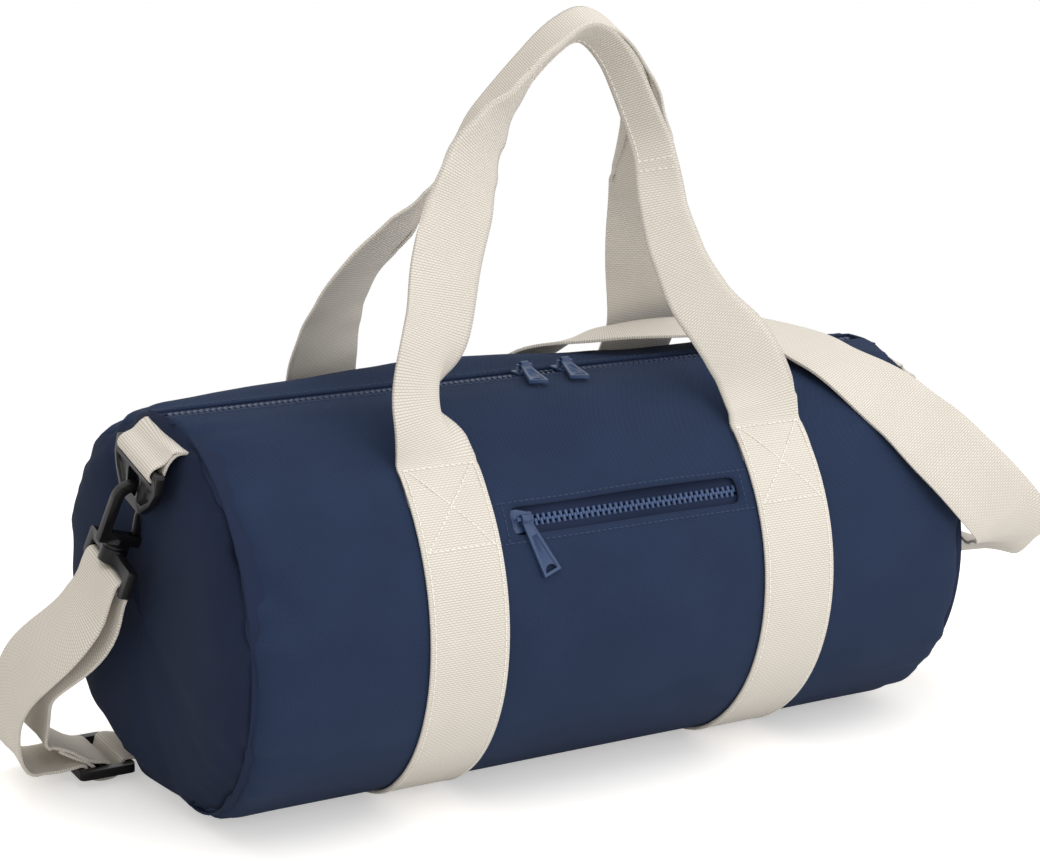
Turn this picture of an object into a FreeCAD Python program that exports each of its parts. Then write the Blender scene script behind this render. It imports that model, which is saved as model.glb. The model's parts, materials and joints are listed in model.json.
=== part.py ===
import FreeCAD, Part
import math
import os
from types import SimpleNamespace

# Barrel bag in millimetres and degrees. X runs along the barrel, the front is -Y, Z is up and the floor is
# z = 0.

V = FreeCAD.Vector
doc = FreeCAD.newDocument("barrel_bag")
sheet = doc.addObject("Spreadsheet::Sheet", "sizes")

DIMENSIONS = [
    ("bag_length", 392.0, "end seam to end seam"),
    ("barrel_radius", 98.0, "outside of the barrel panel"),
    ("corner_radius", 70.0, "round between the side and the flat the bag rests on"),
    ("squash", 3.9, "how far the bottom is flattened"),
    ("cloth_thick", 1.5, "lined polyester panel"),
    ("end_crown", 7.0, "bulge of an end panel"),
    ("lay_gap", 0.3, "clearance between layers and moving pieces"),
    ("binding_width", 10.0, "seam binding inside each end"),
    ("binding_thick", 1.2, "seam binding"),
    ("web_width", 40.0, "webbing"),
    ("web_thick", 1.6, "webbing"),
    ("band_centre", 90.3, "middle of each webbing band from the middle of the bag"),
    ("handle_angle", 49.0, "handle stitch line above the horizontal"),
    ("front_lean", 9.0, "front handle, back from upright"),
    ("rear_lean", 23.0, "rear handle, forward from upright"),
    ("front_reach", 190.6, "front handle, stitch line to the top of the grip"),
    ("rear_reach", 209.0, "rear handle, stitch line to the top of the grip"),
    ("grip_width", 21.0, "webbing folded in half along the grip"),
    ("grip_thick", 3.6, "folded webbing"),
    ("zip_slot", 13.5, "gap between the cloth edges over a zip"),
    ("tape_thick", 0.8, "zip tape"),
    ("main_tape", 16.0, "one tape of the main zip"),
    ("pocket_tape", 11.0, "one tape of the pocket zip"),
    ("tooth_pitch", 3.0, "zip teeth along one tape"),
    ("tooth_neck", 1.1, "tooth at its root"),
    ("tooth_head", 1.4, "tooth at its tip"),
    ("tooth_reach", 0.7, "tooth tip past the zip's middle line"),
    ("tooth_root", 1.2, "root of the teeth from the zip's middle line"),
    ("chain_half", 2.8, "outside of the teeth from the zip's middle line"),
    ("chain_thick", 2.4, "height of the teeth"),
    ("slider_length", 11.0, "zip slider"),
    ("slider_plate", 1.2, "top and bottom plate of a slider"),
    ("slider_wall", 0.8, "side flange of a slider"),
    ("post_half", 0.7, "half width of the post that parts the teeth"),
    ("bail_bar", 1.8, "square bar of the slider's bail"),
    ("knuckle_bore", 3.0, "eye of a pull on the bail"),
    ("knuckle_wall", 0.8, "wall of that eye"),
    ("knuckle_length", 4.2, "eye along the bail"),
    ("pull_length", 28.0, "bail to the tip of a pull"),
    ("pull_width", 9.6, "pull at its tip"),
    ("pull_thick", 1.8, "pull plate"),
    ("pull_web", 1.0, "pull inside its raised rim"),
    ("pull_rim", 1.4, "rim of a pull"),
    ("main_meet", 3.5, "where the two main sliders meet"),
    ("slider_apart", 11.5, "each main slider from that point"),
    ("main_pull_yaw", -14.0, "main pulls, swung sideways"),
    ("pocket_pull_yaw", 20.0, "pocket pull, swung sideways"),
    ("main_pull_sink", 5.0, "main pulls, laid towards the cloth"),
    ("pocket_pull_sink", 8.5, "pocket pull, laid towards the cloth"),
    ("pocket_angle", 29.0, "pocket zip above the horizontal"),
    ("pocket_length", 124.0, "slot of the pocket zip"),
    ("pocket_depth", 9.0, "room in the pocket's lining"),
    ("pocket_drop", 62.0, "lining below the zip, as an angle"),
    ("pocket_rise", 2.5, "lining above the upper tape of the pocket zip"),
    ("lining_thick", 1.0, "pocket lining"),
    ("lining_past", 7.0, "pocket lining past each end of the slot"),
    ("ring_out", 14.5, "ring bar outside the end seam"),
    ("ring_fore", 8.0, "ring bar in front of the barrel's axis"),
    ("ring_below", 19.5, "ring bar below the top of the barrel"),
    ("chain_roll", 12.0, "ring and hook, front end lower"),
    ("ring_tilt", 6.0, "ring, outward from upright"),
    ("tab_angle", 134.0, "webbing tab of the ring, from the outward direction"),
    ("tab_length", 21.0, "webbing tab from the ring's bar"),
    ("bar_radius", 2.2, "bars of the plastic fittings"),
    ("fitting_side", 5.0, "side limbs of the plastic fittings"),
    ("side_play", 1.0, "webbing to the side limbs"),
    ("ring_drop", 17.0, "ring bar to the bearing edge of its eye"),
    ("ring_foot", 5.5, "limb below the eye of the ring"),
    ("ring_thick", 4.0, "raised rim of the ring"),
    ("ring_web", 2.4, "ring plate inside its rim"),
    ("ring_rim", 2.2, "width of that rim"),
    ("ring_base", 24.0, "lower width of the ring"),
    ("eye_top", 15.0, "upper width of the eye"),
    ("eye_base", 10.5, "lower width of the eye"),
    ("hook_seat", 1.1, "hook to the ring's bearing edge"),
    ("hook_inner", 5.5, "inner radius of the hook's bend"),
    ("hook_limb", 4.5, "limb of the hook"),
    ("hook_thick", 5.0, "hook across its plane"),
    ("hook_throat", 21.5, "bearing edge to the hook's base"),
    ("hook_base", 5.5, "height of the hook's base"),
    ("nose_low", 9.5, "bearing edge to the tip of the hook's nose"),
    ("gate_thick", 3.0, "foot of the hook's gate"),
    ("gate_lip", 1.2, "gate inside the nose"),
    ("gate_wide", 2.6, "gate across the hook's plane"),
    ("swivel_pin", 6.0, "pin of the swivel"),
    ("flange_wide", 12.6, "flange of the hook above the swivel"),
    ("flange_high", 1.6, "flange of the hook above the swivel"),
    ("barrel_wall", 3.0, "wall of the swivel barrel"),
    ("barrel_high", 7.0, "height of the swivel barrel"),
    ("loop_bar_down", 5.6, "swivel barrel to the strap bar of the loop"),
    ("hook_tilt", 17.3, "hook, outward from the ring"),
    ("tri_length", 28.0, "strap adjuster along the strap"),
    ("tri_bar", 3.4, "end bars of the adjuster"),
    ("tri_back", 70.0, "adjuster behind the barrel's axis"),
    ("tri_out", 18.0, "adjuster outside the end seam"),
    ("tail_length", 26.0, "sewn double end of the strap"),
    ("tail_lift", 32.0, "sewn end at the adjuster, up from the floor"),
    ("strap_clear", 8.0, "shoulder strap above the top of the barrel"),
]

for row, (alias, value, meaning) in enumerate(DIMENSIONS, start=1):
    sheet.set(f"A{row}", meaning)
    sheet.set(f"B{row}", str(value))
    sheet.setAlias(f"B{row}", alias)
doc.recompute()

DERIVED = [
    ("crown_radius", "(barrel_radius ^ 2 + end_crown ^ 2) / (2 * end_crown)", "sphere of an end panel"),
    ("crown_x", "bag_length / 2 + end_crown - crown_radius", "middle of that sphere"),
    ("crown_edge", "sqrt((crown_radius - cloth_thick) ^ 2 - barrel_radius ^ 2)", "inside of its rim"),
    ("panel_length", "2 * (crown_x + crown_edge - lay_gap)", "barrel panel between the end panels"),
]
for row, (alias, formula, meaning) in enumerate(DERIVED, start=len(DIMENSIONS) + 2):
    sheet.set(f"A{row}", meaning)
    sheet.set(f"B{row}", "=" + formula)
    sheet.setAlias(f"B{row}", alias)
    doc.recompute()
d = SimpleNamespace(**{alias: float(sheet.get(alias)) for alias, _, _ in DIMENSIONS + DERIVED})

half_length = d.bag_length / 2
floor_gap = d.web_thick + d.lay_gap
axis_z = floor_gap + d.barrel_radius - d.squash
inner_radius = d.barrel_radius - d.cloth_thick
nodes = []


def keep(obj, label):
    obj.Label = label
    nodes.append(obj)
    return obj


def place(obj, base=V(0, 0, 0), rotation=FreeCAD.Rotation()):
    obj.Placement = FreeCAD.Placement(base, rotation)
    return obj


def turned(axis, angle):
    return FreeCAD.Rotation(axis, angle)


def sketch_on(body, role, name, geometry):
    sketch = body.newObject("Sketcher::SketchObject", name)
    plane = next(f for f in body.Origin.OriginFeatures if f.Role == role)
    sketch.AttachmentSupport = (plane, [""])
    sketch.MapMode = "FlatFace"
    for piece in geometry:
        sketch.addGeometry(piece)
    return sketch


def add_feature(body, kind, name, role, geometry, length):
    """A pad or pocket, even about its sketch plane, whose length is an expression on the sheet."""
    feature = body.newObject("PartDesign::" + kind, name)
    feature.Profile = sketch_on(body, role, name + "_sketch", geometry)
    feature.SideType = "Symmetric"
    feature.setExpression("Length", length)
    doc.recompute()
    return feature


def new_body(name):
    return doc.addObject("PartDesign::Body", name)


def circle(x, y, radius):
    return Part.Circle(V(x, y, 0), V(0, 0, 1), radius)


def arc(x, y, radius, start, end):
    return Part.ArcOfCircle(circle(x, y, radius), start, end)


def polygon(points):
    corners = [V(x, y, 0) for x, y in points]
    return [Part.LineSegment(a, b) for a, b in zip(corners, corners[1:] + corners[:1])]


def rounded_polygon(points, radius):
    """The polygon with each corner replaced by a tangent arc."""
    pieces, last = [], None
    count = len(points)
    joints = []
    for i in range(count):
        here = V(*points[i], 0)
        before = (V(*points[i - 1], 0) - here).normalize()
        after = (V(*points[(i + 1) % count], 0) - here).normalize()
        half_turn = math.acos(max(-1.0, min(1.0, before.dot(after)))) / 2
        cut = radius / math.tan(half_turn)
        middle = here + (before + after).normalize() * (radius / math.sin(half_turn) - radius)
        joints.append((here + before * cut, middle, here + after * cut))
    for start, middle, end in joints:
        if last is not None:
            pieces.append(Part.LineSegment(last, start))
        pieces.append(Part.Arc(start, middle, end))
        last = end
    pieces.append(Part.LineSegment(last, joints[0][0]))
    return pieces


corner_z = floor_gap + d.corner_radius
corner_y = math.sqrt((d.barrel_radius - d.corner_radius) ** 2 - (axis_z - corner_z) ** 2)
corner_angle = math.atan2(corner_z - axis_z, corner_y)


def section(offset):
    """The barrel's closed section, moved outward by an offset."""
    big = d.barrel_radius + offset
    small = d.corner_radius + offset
    low = floor_gap - offset
    return [
        arc(0, axis_z, big, corner_angle, math.pi - corner_angle),
        arc(-corner_y, corner_z, small, math.pi - corner_angle, 1.5 * math.pi),
        Part.LineSegment(V(-corner_y, low, 0), V(corner_y, low, 0)),
        arc(corner_y, corner_z, small, 1.5 * math.pi, 2 * math.pi + corner_angle),
    ]


def open_section(outer, inner, slot_half):
    """A wall of the section between two offsets, open at the top."""
    pieces, ends = [], []
    for offset in (outer, inner):
        big = d.barrel_radius + offset
        slot_angle = math.acos(slot_half / big)
        _, left, low, right = section(offset)
        pieces += [arc(0, axis_z, big, corner_angle, slot_angle), left, low, right]
        pieces.append(arc(0, axis_z, big, math.pi - slot_angle, math.pi - corner_angle))
        ends.append(axis_z + big * math.sin(slot_angle))
    for side in (-1, 1):
        pieces.append(Part.LineSegment(V(side * slot_half, ends[0], 0), V(side * slot_half, ends[1], 0)))
    return pieces


# Crowned end panels: a spherical skin inside the barrel's section.

panel_half = d.panel_length / 2


def sphere(name, side, radius):
    ball = doc.addObject("Part::Sphere", name)
    ball.Radius = radius
    return place(ball, V(side * d.crown_x, 0, axis_z), turned(V(0, 0, 1), 90 + 90 * side))


def end_panel(side, name):
    plug = new_body(f"{name}_plug")
    add_feature(plug, "Pad", f"{name}_pad", "YZ_Plane", section(0), "sizes.end_crown * 4")
    place(plug, V(side * half_length, 0, 0))
    cap = doc.addObject("Part::Common", f"{name}_cap")
    cap.Base = plug
    cap.Tool = sphere(f"{name}_outside", side, d.crown_radius)
    skin = doc.addObject("Part::Cut", f"{name}_skin")
    skin.Base = cap
    skin.Tool = sphere(f"{name}_inside", side, d.crown_radius - d.cloth_thick)
    keep(skin, name)


def barrel_panel():
    tube = new_body("barrel_tube")
    wall = open_section(0, -d.cloth_thick, d.zip_slot / 2)
    add_feature(tube, "Pad", "barrel_pad", "YZ_Plane", wall, "sizes.panel_length")
    mouth = doc.addObject("Part::Box", "pocket_mouth")
    mouth.setExpression("Length", "sizes.pocket_length")
    mouth.setExpression("Width", "sizes.zip_slot")
    mouth.setExpression("Height", "sizes.cloth_thick * 6")
    away = inner_radius - d.cloth_thick * 3
    corner = V(-d.pocket_length / 2, -d.zip_slot / 2, away)
    place(mouth, V(0, 0, axis_z) + pocket_turn.multVec(corner), pocket_turn)
    cut = doc.addObject("Part::Cut", "barrel_cut")
    cut.Base = tube
    cut.Tool = mouth
    keep(cut, "barrel_panel")


def section_strip(name, outer, inner, slot_half, middle_x, length):
    body = new_body(f"{name}_body")
    add_feature(body, "Pad", f"{name}_pad", "YZ_Plane", open_section(outer, inner, slot_half), length)
    place(body, V(middle_x, 0, 0))
    keep(body, name)


def pocket_lining():
    """A shallow tray behind the pocket zip, open towards the barrel panel."""

    def sector(outer, inner, low, high, width):
        low, high = math.radians(180 - high), math.radians(180 - low)
        ends = [(math.cos(a), math.sin(a)) for a in (low, high)]
        edges = [
            arc(0, 0, outer, low, high).toShape(),
            Part.makeLine(V(ends[1][0], ends[1][1], 0) * outer, V(ends[1][0], ends[1][1], 0) * inner),
            arc(0, 0, inner, low, high).toShape(),
            Part.makeLine(V(ends[0][0], ends[0][1], 0) * inner, V(ends[0][0], ends[0][1], 0) * outer),
        ]
        face = Part.Face(Part.Wire(Part.__sortEdges__(edges)))
        solid = face.extrude(V(0, 0, width))
        solid.translate(V(0, 0, -width / 2))
        return solid

    rim = inner_radius - d.lay_gap
    floor = rim - d.pocket_depth
    wall_angle = math.degrees(d.lining_thick / rim)
    width = d.pocket_length + 2 * d.lining_past
    low = d.pocket_angle - d.pocket_drop
    high = d.pocket_angle + math.degrees((d.pocket_tape + d.pocket_rise) / rim)
    outside = sector(rim, floor - d.lining_thick, low, high, width)
    room_width = width - 2 * d.lining_thick
    room = sector(rim + d.lining_thick, floor, low + wall_angle, high - wall_angle, room_width)
    tray = doc.addObject("Part::Feature", "pocket_lining_tray")
    tray.Shape = outside.cut(room)
    keep(place(tray, V(0, 0, axis_z), turned(V(1, 1, 1), 120)), "pocket_lining")


# Zips are drawn in a frame on the barrel's axis: x along the bag, y across the zip, z outward.

pocket_turn = turned(V(1, 0, 0), 90 - d.pocket_angle)
main_turn = FreeCAD.Rotation()
part_half = d.tooth_reach + d.post_half + d.lay_gap
plate_low = d.chain_thick / 2 + d.lay_gap
slider_half = plate_low + d.slider_plate
nose_u, tail_u = d.slider_length / 2, -d.slider_length / 2
full_u, closed_u = nose_u - 3.5, tail_u + 2.0
knuckle_radius = d.knuckle_bore / 2 + d.knuckle_wall
bail_high = slider_half + d.lay_gap + knuckle_radius


def tape_level(tape):
    return math.sqrt(inner_radius**2 - tape**2) - d.lay_gap - d.tape_thick / 2


def parting(x, sliders):
    """How far each row of teeth stands off the middle line beside the sliders (place, nose side)."""
    share = 0.0
    if len(sliders) == 2:
        (first, _), (second, _) = sliders
        inside = min(x - first, second - x)
        share = (inside - closed_u) / (full_u - closed_u)
    else:
        place_x, nose = sliders[0]
        share = ((x - place_x) * nose - closed_u) / (full_u - closed_u)
    return part_half * max(0.0, min(1.0, share))


def zip_rows(prefix, turn, tape, x_low, x_high, sliders):
    """Two tapes and two rows of teeth; the rows part round the sliders' posts."""
    level = tape_level(tape)
    count = int((x_high - x_low) / d.tooth_pitch) - 1
    marks = {x_low, x_high}
    for slider_x, nose in sliders:
        marks |= {slider_x + nose * closed_u, slider_x + nose * full_u}
    marks = sorted(m for m in marks if x_low <= m <= x_high)
    for side, name, shift in ((-1, "front", 0.25), (1, "rear", 0.75)):
        first = x_low + d.tooth_pitch * shift
        comb = []
        for i in range(count):
            x = first + i * d.tooth_pitch
            off = parting(x, sliders)
            root, tip = d.tooth_root + off, off - d.tooth_reach
            comb += [
                V(x - d.tooth_neck / 2, side * root, 0),
                V(x - d.tooth_head / 2, side * tip, 0),
                V(x + d.tooth_head / 2, side * tip, 0),
                V(x + d.tooth_neck / 2, side * root, 0),
            ]
        edge = [V(m, side * (d.chain_half + parting(m, sliders)), 0) for m in marks]
        edge[0].x, edge[-1].x = comb[0].x, comb[-1].x
        teeth = doc.addObject("Part::Feature", f"{prefix}_teeth_{name}_comb")
        profile = Part.Face(Part.makePolygon(comb + edge[::-1] + comb[:1]))
        teeth.Shape = profile.extrude(V(0, 0, d.chain_thick))
        down = turn.multVec(V(0, 0, level - d.chain_thick / 2))
        keep(place(teeth, V(0, 0, axis_z) + down, turn), f"{prefix}_teeth_{name}")

        inner = [V(m, side * (d.chain_half + parting(m, sliders)), 0) for m in marks]
        outer = [V(x_high, side * tape, 0), V(x_low, side * tape, 0)]
        strip = doc.addObject("Part::Feature", f"{prefix}_tape_{name}_strip")
        profile = Part.Face(Part.makePolygon(inner + outer + inner[:1]))
        strip.Shape = profile.extrude(V(0, 0, d.tape_thick))
        down = turn.multVec(V(0, 0, level - d.tape_thick / 2))
        keep(place(strip, V(0, 0, axis_z) + down, turn), f"{prefix}_tape_{name}")


def slider(name, turn, tape, x, nose):
    """Two plates joined by the post, with flanges that hold the teeth and a bail for the pull."""
    tail_in = d.chain_half + d.lay_gap
    nose_in = tail_in + part_half
    wall = d.slider_wall

    def outline(tail_y, nose_y, reach):
        return [
            (tail_u - reach, -tail_y),
            (closed_u, -tail_y),
            (full_u, -nose_y),
            (nose_u + reach, -nose_y),
            (nose_u + reach, nose_y),
            (full_u, nose_y),
            (closed_u, tail_y),
            (tail_u - reach, tail_y),
        ]

    post = [(full_u - 1.6, 0), (full_u, -d.post_half), (nose_u - 0.6, -d.post_half)]
    post += [(nose_u - 0.6, d.post_half), (full_u, d.post_half)]
    wide = 2 * (nose_in + wall)
    slit = [(tail_u - 1, -wide), (nose_u + 1, -wide), (nose_u + 1, wide), (tail_u - 1, wide)]
    body = new_body(f"{name}_body")
    hull = rounded_polygon(outline(tail_in + wall, nose_in + wall, 0), 0.9)
    block = add_feature(body, "Pad", f"{name}_block", "XY_Plane", hull, "2 * sizes.slider_plate")
    block.setExpression("Length", "sizes.chain_thick + 2 * sizes.lay_gap + 2 * sizes.slider_plate")
    channel = polygon(outline(tail_in, nose_in, 1)) + polygon(post)
    length = "sizes.chain_thick + 2 * sizes.lay_gap"
    add_feature(body, "Pocket", f"{name}_channel", "XY_Plane", channel, length)
    length = "sizes.tape_thick + 2 * sizes.lay_gap"
    add_feature(body, "Pocket", f"{name}_slit", "XY_Plane", polygon(slit) + polygon(post), length)
    inside = d.knuckle_length / 2 + d.lay_gap
    leg = inside + d.bail_bar
    top, under = bail_high + d.bail_bar / 2, bail_high - d.bail_bar / 2
    seat = slider_half - d.slider_plate / 2
    arch = [(-leg, seat), (-leg, top), (leg, top), (leg, seat), (inside, seat), (inside, under)]
    arch += [(-inside, under), (-inside, seat)]
    add_feature(body, "Pad", f"{name}_bail", "XZ_Plane", polygon(arch), "sizes.bail_bar")
    spin = turn.multiply(turned(V(0, 0, 1), 0 if nose > 0 else 180))
    keep(place(body, V(0, 0, axis_z) + turn.multVec(V(x, 0, tape_level(tape))), spin), name)


def pull(name, turn, tape, x, yaw, sink):
    """A tapered plate with an eye on the bail and a D-shaped hole in its tip, hanging along -y."""
    neck = d.knuckle_length / 2
    tip = d.pull_width / 2
    swing = math.radians(yaw)

    def swung(x, y):
        return x * math.cos(swing) - y * math.sin(swing), x * math.sin(swing) + y * math.cos(swing)

    body = new_body(f"{name}_body")
    corners = [(-neck, 0), (neck, 0), (tip, -d.pull_length), (-tip, -d.pull_length)]
    plate = polygon([swung(x, y) for x, y in corners])
    add_feature(body, "Pad", f"{name}_plate", "XY_Plane", plate, "sizes.pull_web")
    inner, outer = neck - d.pull_rim / 2, tip - d.pull_rim
    panel = [(-inner, -d.pull_length * 0.3), (inner, -d.pull_length * 0.3)]
    panel += [(outer, -d.pull_length + d.pull_rim), (-outer, -d.pull_length + d.pull_rim)]
    rim = plate + polygon([swung(x, y) for x, y in panel])
    add_feature(body, "Pad", f"{name}_rim", "XY_Plane", rim, "sizes.pull_thick")
    eye = [circle(0, 0, knuckle_radius)]
    add_feature(body, "Pad", f"{name}_eye", "YZ_Plane", eye, "sizes.knuckle_length")
    bore = [circle(0, 0, d.knuckle_bore / 2)]
    add_feature(body, "Pocket", f"{name}_bore", "YZ_Plane", bore, "sizes.knuckle_length * 3")
    hole_half = tip - d.pull_rim - 0.4
    flat_y = -d.pull_length + d.pull_rim
    hole = [
        Part.LineSegment(V(*swung(-hole_half, flat_y), 0), V(*swung(hole_half, flat_y), 0)),
        arc(*swung(0, flat_y), hole_half, swing, swing + math.pi),
    ]
    add_feature(body, "Pocket", f"{name}_hole", "XY_Plane", hole, "sizes.pull_thick * 3")
    lay = turned(V(1, 0, 0), sink)
    hinge = V(x, 0, tape_level(tape) + bail_high)
    keep(place(body, V(0, 0, axis_z) + turn.multVec(hinge), turn.multiply(lay)), name)


# Webbing is a ruled loft of rectangles along a path.
# Each section has a centre, two directions and two sizes.


def ribbon(name, sections):
    wires = []
    for centre, across, normal, width, thick in sections:
        a, n = across * (width / 2), normal * (thick / 2)
        corners = [centre - a - n, centre + a - n, centre + a + n, centre - a + n]
        wires.append(Part.makePolygon(corners + corners[:1]))
    feature = doc.addObject("Part::Feature", f"{name}_ribbon")
    feature.Shape = Part.makeLoft(wires, True, True)
    return keep(feature, name)


def smooth(low, high, value):
    share = max(0.0, min(1.0, (value - low) / (high - low)))
    return share * share * (3 - 2 * share)


hinge_radius = d.barrel_radius + 2 * d.lay_gap + 1.5 * d.web_thick
hinge_y = hinge_radius * math.cos(math.radians(d.handle_angle))
hinge_z = axis_z + hinge_radius * math.sin(math.radians(d.handle_angle))
# Stations of a handle: shares of the half span and of the reach, degrees turned on edge and share folded.
FRONT_HANDLE = [
    (-1.0, 0.0, 0, 0.0),
    (-1.03, 0.118, 16, 0.0),
    (-1.0, 0.226, 20, 0.0),
    (-0.93, 0.314, 16, 0.0),
    (-0.863, 0.449, 13, 0.0),
    (-0.77, 0.574, 14, 0.0),
    (-0.675, 0.682, 22, 0.0),
    (-0.54, 0.77, 37, 0.15),
    (-0.393, 0.845, 58, 0.65),
    (-0.262, 0.911, 66, 1.0),
    (-0.117, 0.962, 72, 1.0),
    (0.06, 1.0, 72, 1.0),
    (0.215, 0.94, 68, 1.0),
    (0.3, 0.855, 62, 1.0),
    (0.36, 0.777, 57, 1.0),
    (0.41, 0.7, 42, 1.0),
    (0.44, 0.574, 28, 0.95),
    (0.505, 0.447, 22, 0.85),
    (0.622, 0.306, 15, 0.75),
    (0.83, 0.17, 8, 0.55),
    (1.0, 0.0, 0, 0.0),
]
REAR_HANDLE = [
    (-1.0, 0.0, 0, 0.0),
    (-1.01, 0.11, 9, 0.0),
    (-1.0, 0.22, 18, 0.0),
    (-0.965, 0.29, 25, 0.0),
    (-0.86, 0.388, 30, 0.0),
    (-0.69, 0.478, 33, 0.0),
    (-0.55, 0.57, 46, 0.2),
    (-0.44, 0.665, 68, 0.7),
    (-0.3, 0.773, 83, 1.0),
    (-0.12, 0.885, 86, 1.0),
    (0.065, 0.974, 89, 1.0),
    (0.2, 1.0, 91, 1.0),
    (0.345, 0.98, 91, 1.0),
    (0.53, 0.905, 90, 1.0),
    (0.69, 0.8, 84, 1.0),
    (0.745, 0.7, 70, 0.9),
    (0.85, 0.517, 45, 0.5),
    (0.95, 0.316, 25, 0.15),
    (1.04, 0.105, 8, 0.0),
    (1.0, 0.0, 0, 0.0),
]
HANDLE_STEP = 11.0


def smooth_path(points, step, start, end):
    """Places about a step apart on a smooth path: number of the span, share of it, place and direction."""
    spans = [0.0]
    for a, b in zip(points, points[1:]):
        spans.append(spans[-1] + (b - a).Length)
    curve = Part.BSplineCurve()
    curve.interpolate(Points=points, Parameters=spans, InitialTangent=start, FinalTangent=end, Scale=False)
    for i in range(len(points) - 1):
        count = max(2, round((spans[i + 1] - spans[i]) / step))
        for k in range(count + (i == len(points) - 2)):
            t = spans[i] + (spans[i + 1] - spans[i]) * k / count
            yield i, smooth(0, 1, k / count), curve.value(t), curve.tangent(t)[0]


def handle(name, side, lean, reach, stations):
    """A strip that turns on edge and folds along its grip; side is -1 at the front and 1 at the rear."""
    path = [V(d.band_centre * x, 0, reach * z) for x, z, _, _ in stations]
    sections = []
    for i, share, centre, along in smooth_path(path, HANDLE_STEP, V(0, 0, 1), V(0, 0, -1)):
        (_, _, turn, fold), (_, _, next_turn, next_fold) = stations[i], stations[i + 1]
        turn = math.radians(turn + (next_turn - turn) * share)
        fold += (next_fold - fold) * share
        normal = V(0, 1, 0) * math.cos(turn) + V(-along.z, 0, along.x) * math.sin(turn)
        width = d.web_width + (d.grip_width - d.web_width) * fold
        thick = d.web_thick + (d.grip_thick - d.web_thick) * fold
        sections.append((centre, normal.cross(along), normal, width, thick))
    # The sewn ends are rounded so that they turn on the stitch line.
    for end in (0, -1):
        centre, across, normal, width, thick = sections[end]
        down = V(0, 0, -1)
        rounding = [(0.58, 0.8), (1.0, 0.3)] if end else [(1.0, 0.3), (0.58, 0.8)]
        caps = []
        for far, thin in rounding:
            caps.append((centre + down * (thick / 2 * far), across, normal, width, thick * thin))
        sections = sections + caps if end else caps + sections
    feature = ribbon(name, sections)
    place(feature, V(0, side * hinge_y, hinge_z), turned(V(1, 0, 0), lean * side))


# Ring and hook at each end, in a frame on the ring's bar: x outward, y along the bar, z up along the ring.


def chain_frame(side):
    base = V(side * (half_length + d.ring_out), -d.ring_fore, axis_z + d.barrel_radius - d.ring_below)
    roll = turned(V(1, 0, 0), d.chain_roll)
    spin = turned(V(0, 0, 1), 0 if side > 0 else 180)
    return FreeCAD.Placement(base, roll.multiply(spin))


def in_chain(side, offset, rotation=FreeCAD.Rotation()):
    return chain_frame(side).multiply(FreeCAD.Placement(offset, rotation))


ring_turn = turned(V(0, 1, 0), -d.ring_tilt)
hook_turn = turned(V(0, 1, 0), -d.hook_tilt)
hook_top = ring_turn.multVec(V(0, 0, -d.ring_drop + d.hook_seat))
flange_low = d.hook_throat + d.hook_base + d.flange_high
barrel_low = flange_low + d.lay_gap + d.barrel_high
bar_down = barrel_low + d.loop_bar_down
strap_bar = hook_top + hook_turn.multVec(V(0, 0, -bar_down))
inner_wide = d.web_width + 2 * d.side_play
outer_wide = inner_wide + 2 * d.fitting_side
fold_inner = d.bar_radius + d.lay_gap
fold_outer = fold_inner + d.web_thick


def fold_profile(tail):
    """Webbing folded round a bar and sewn to itself; the tail runs along +x."""
    meet = math.asin(d.web_thick / fold_outer)
    x = fold_outer * math.cos(meet)
    return [
        Part.LineSegment(V(tail, d.web_thick, 0), V(x, d.web_thick, 0)),
        arc(0, 0, fold_outer, meet, 2 * math.pi - meet),
        Part.LineSegment(V(x, -d.web_thick, 0), V(tail, -d.web_thick, 0)),
        Part.LineSegment(V(tail, -d.web_thick, 0), V(tail, d.web_thick, 0)),
        circle(0, 0, fold_inner),
    ]


def fold_body(name, tail):
    body = new_body(f"{name}_fold")
    add_feature(body, "Pad", f"{name}_pad", "XZ_Plane", fold_profile(tail), "sizes.web_width")
    return body


def ring_tab(side, name):
    """Webbing tab from the end seam round the ring's bar, trimmed to the crown of the end panel."""
    tab = fold_body(name, d.tab_length)
    tab.Placement = in_chain(side, V(0, 0, 0), turned(V(0, 1, 0), -d.tab_angle))
    trim = doc.addObject("Part::Cut", f"{name}_trim")
    trim.Base = tab
    trim.Tool = sphere(f"{name}_crown", side, d.crown_radius + d.lay_gap)
    keep(trim, name)


def round_bar(body, name, x, z):
    length = "sizes.web_width + 2 * sizes.side_play + sizes.fitting_side"
    add_feature(body, "Pad", name, "XZ_Plane", [circle(x, z, d.bar_radius)], length)


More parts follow.
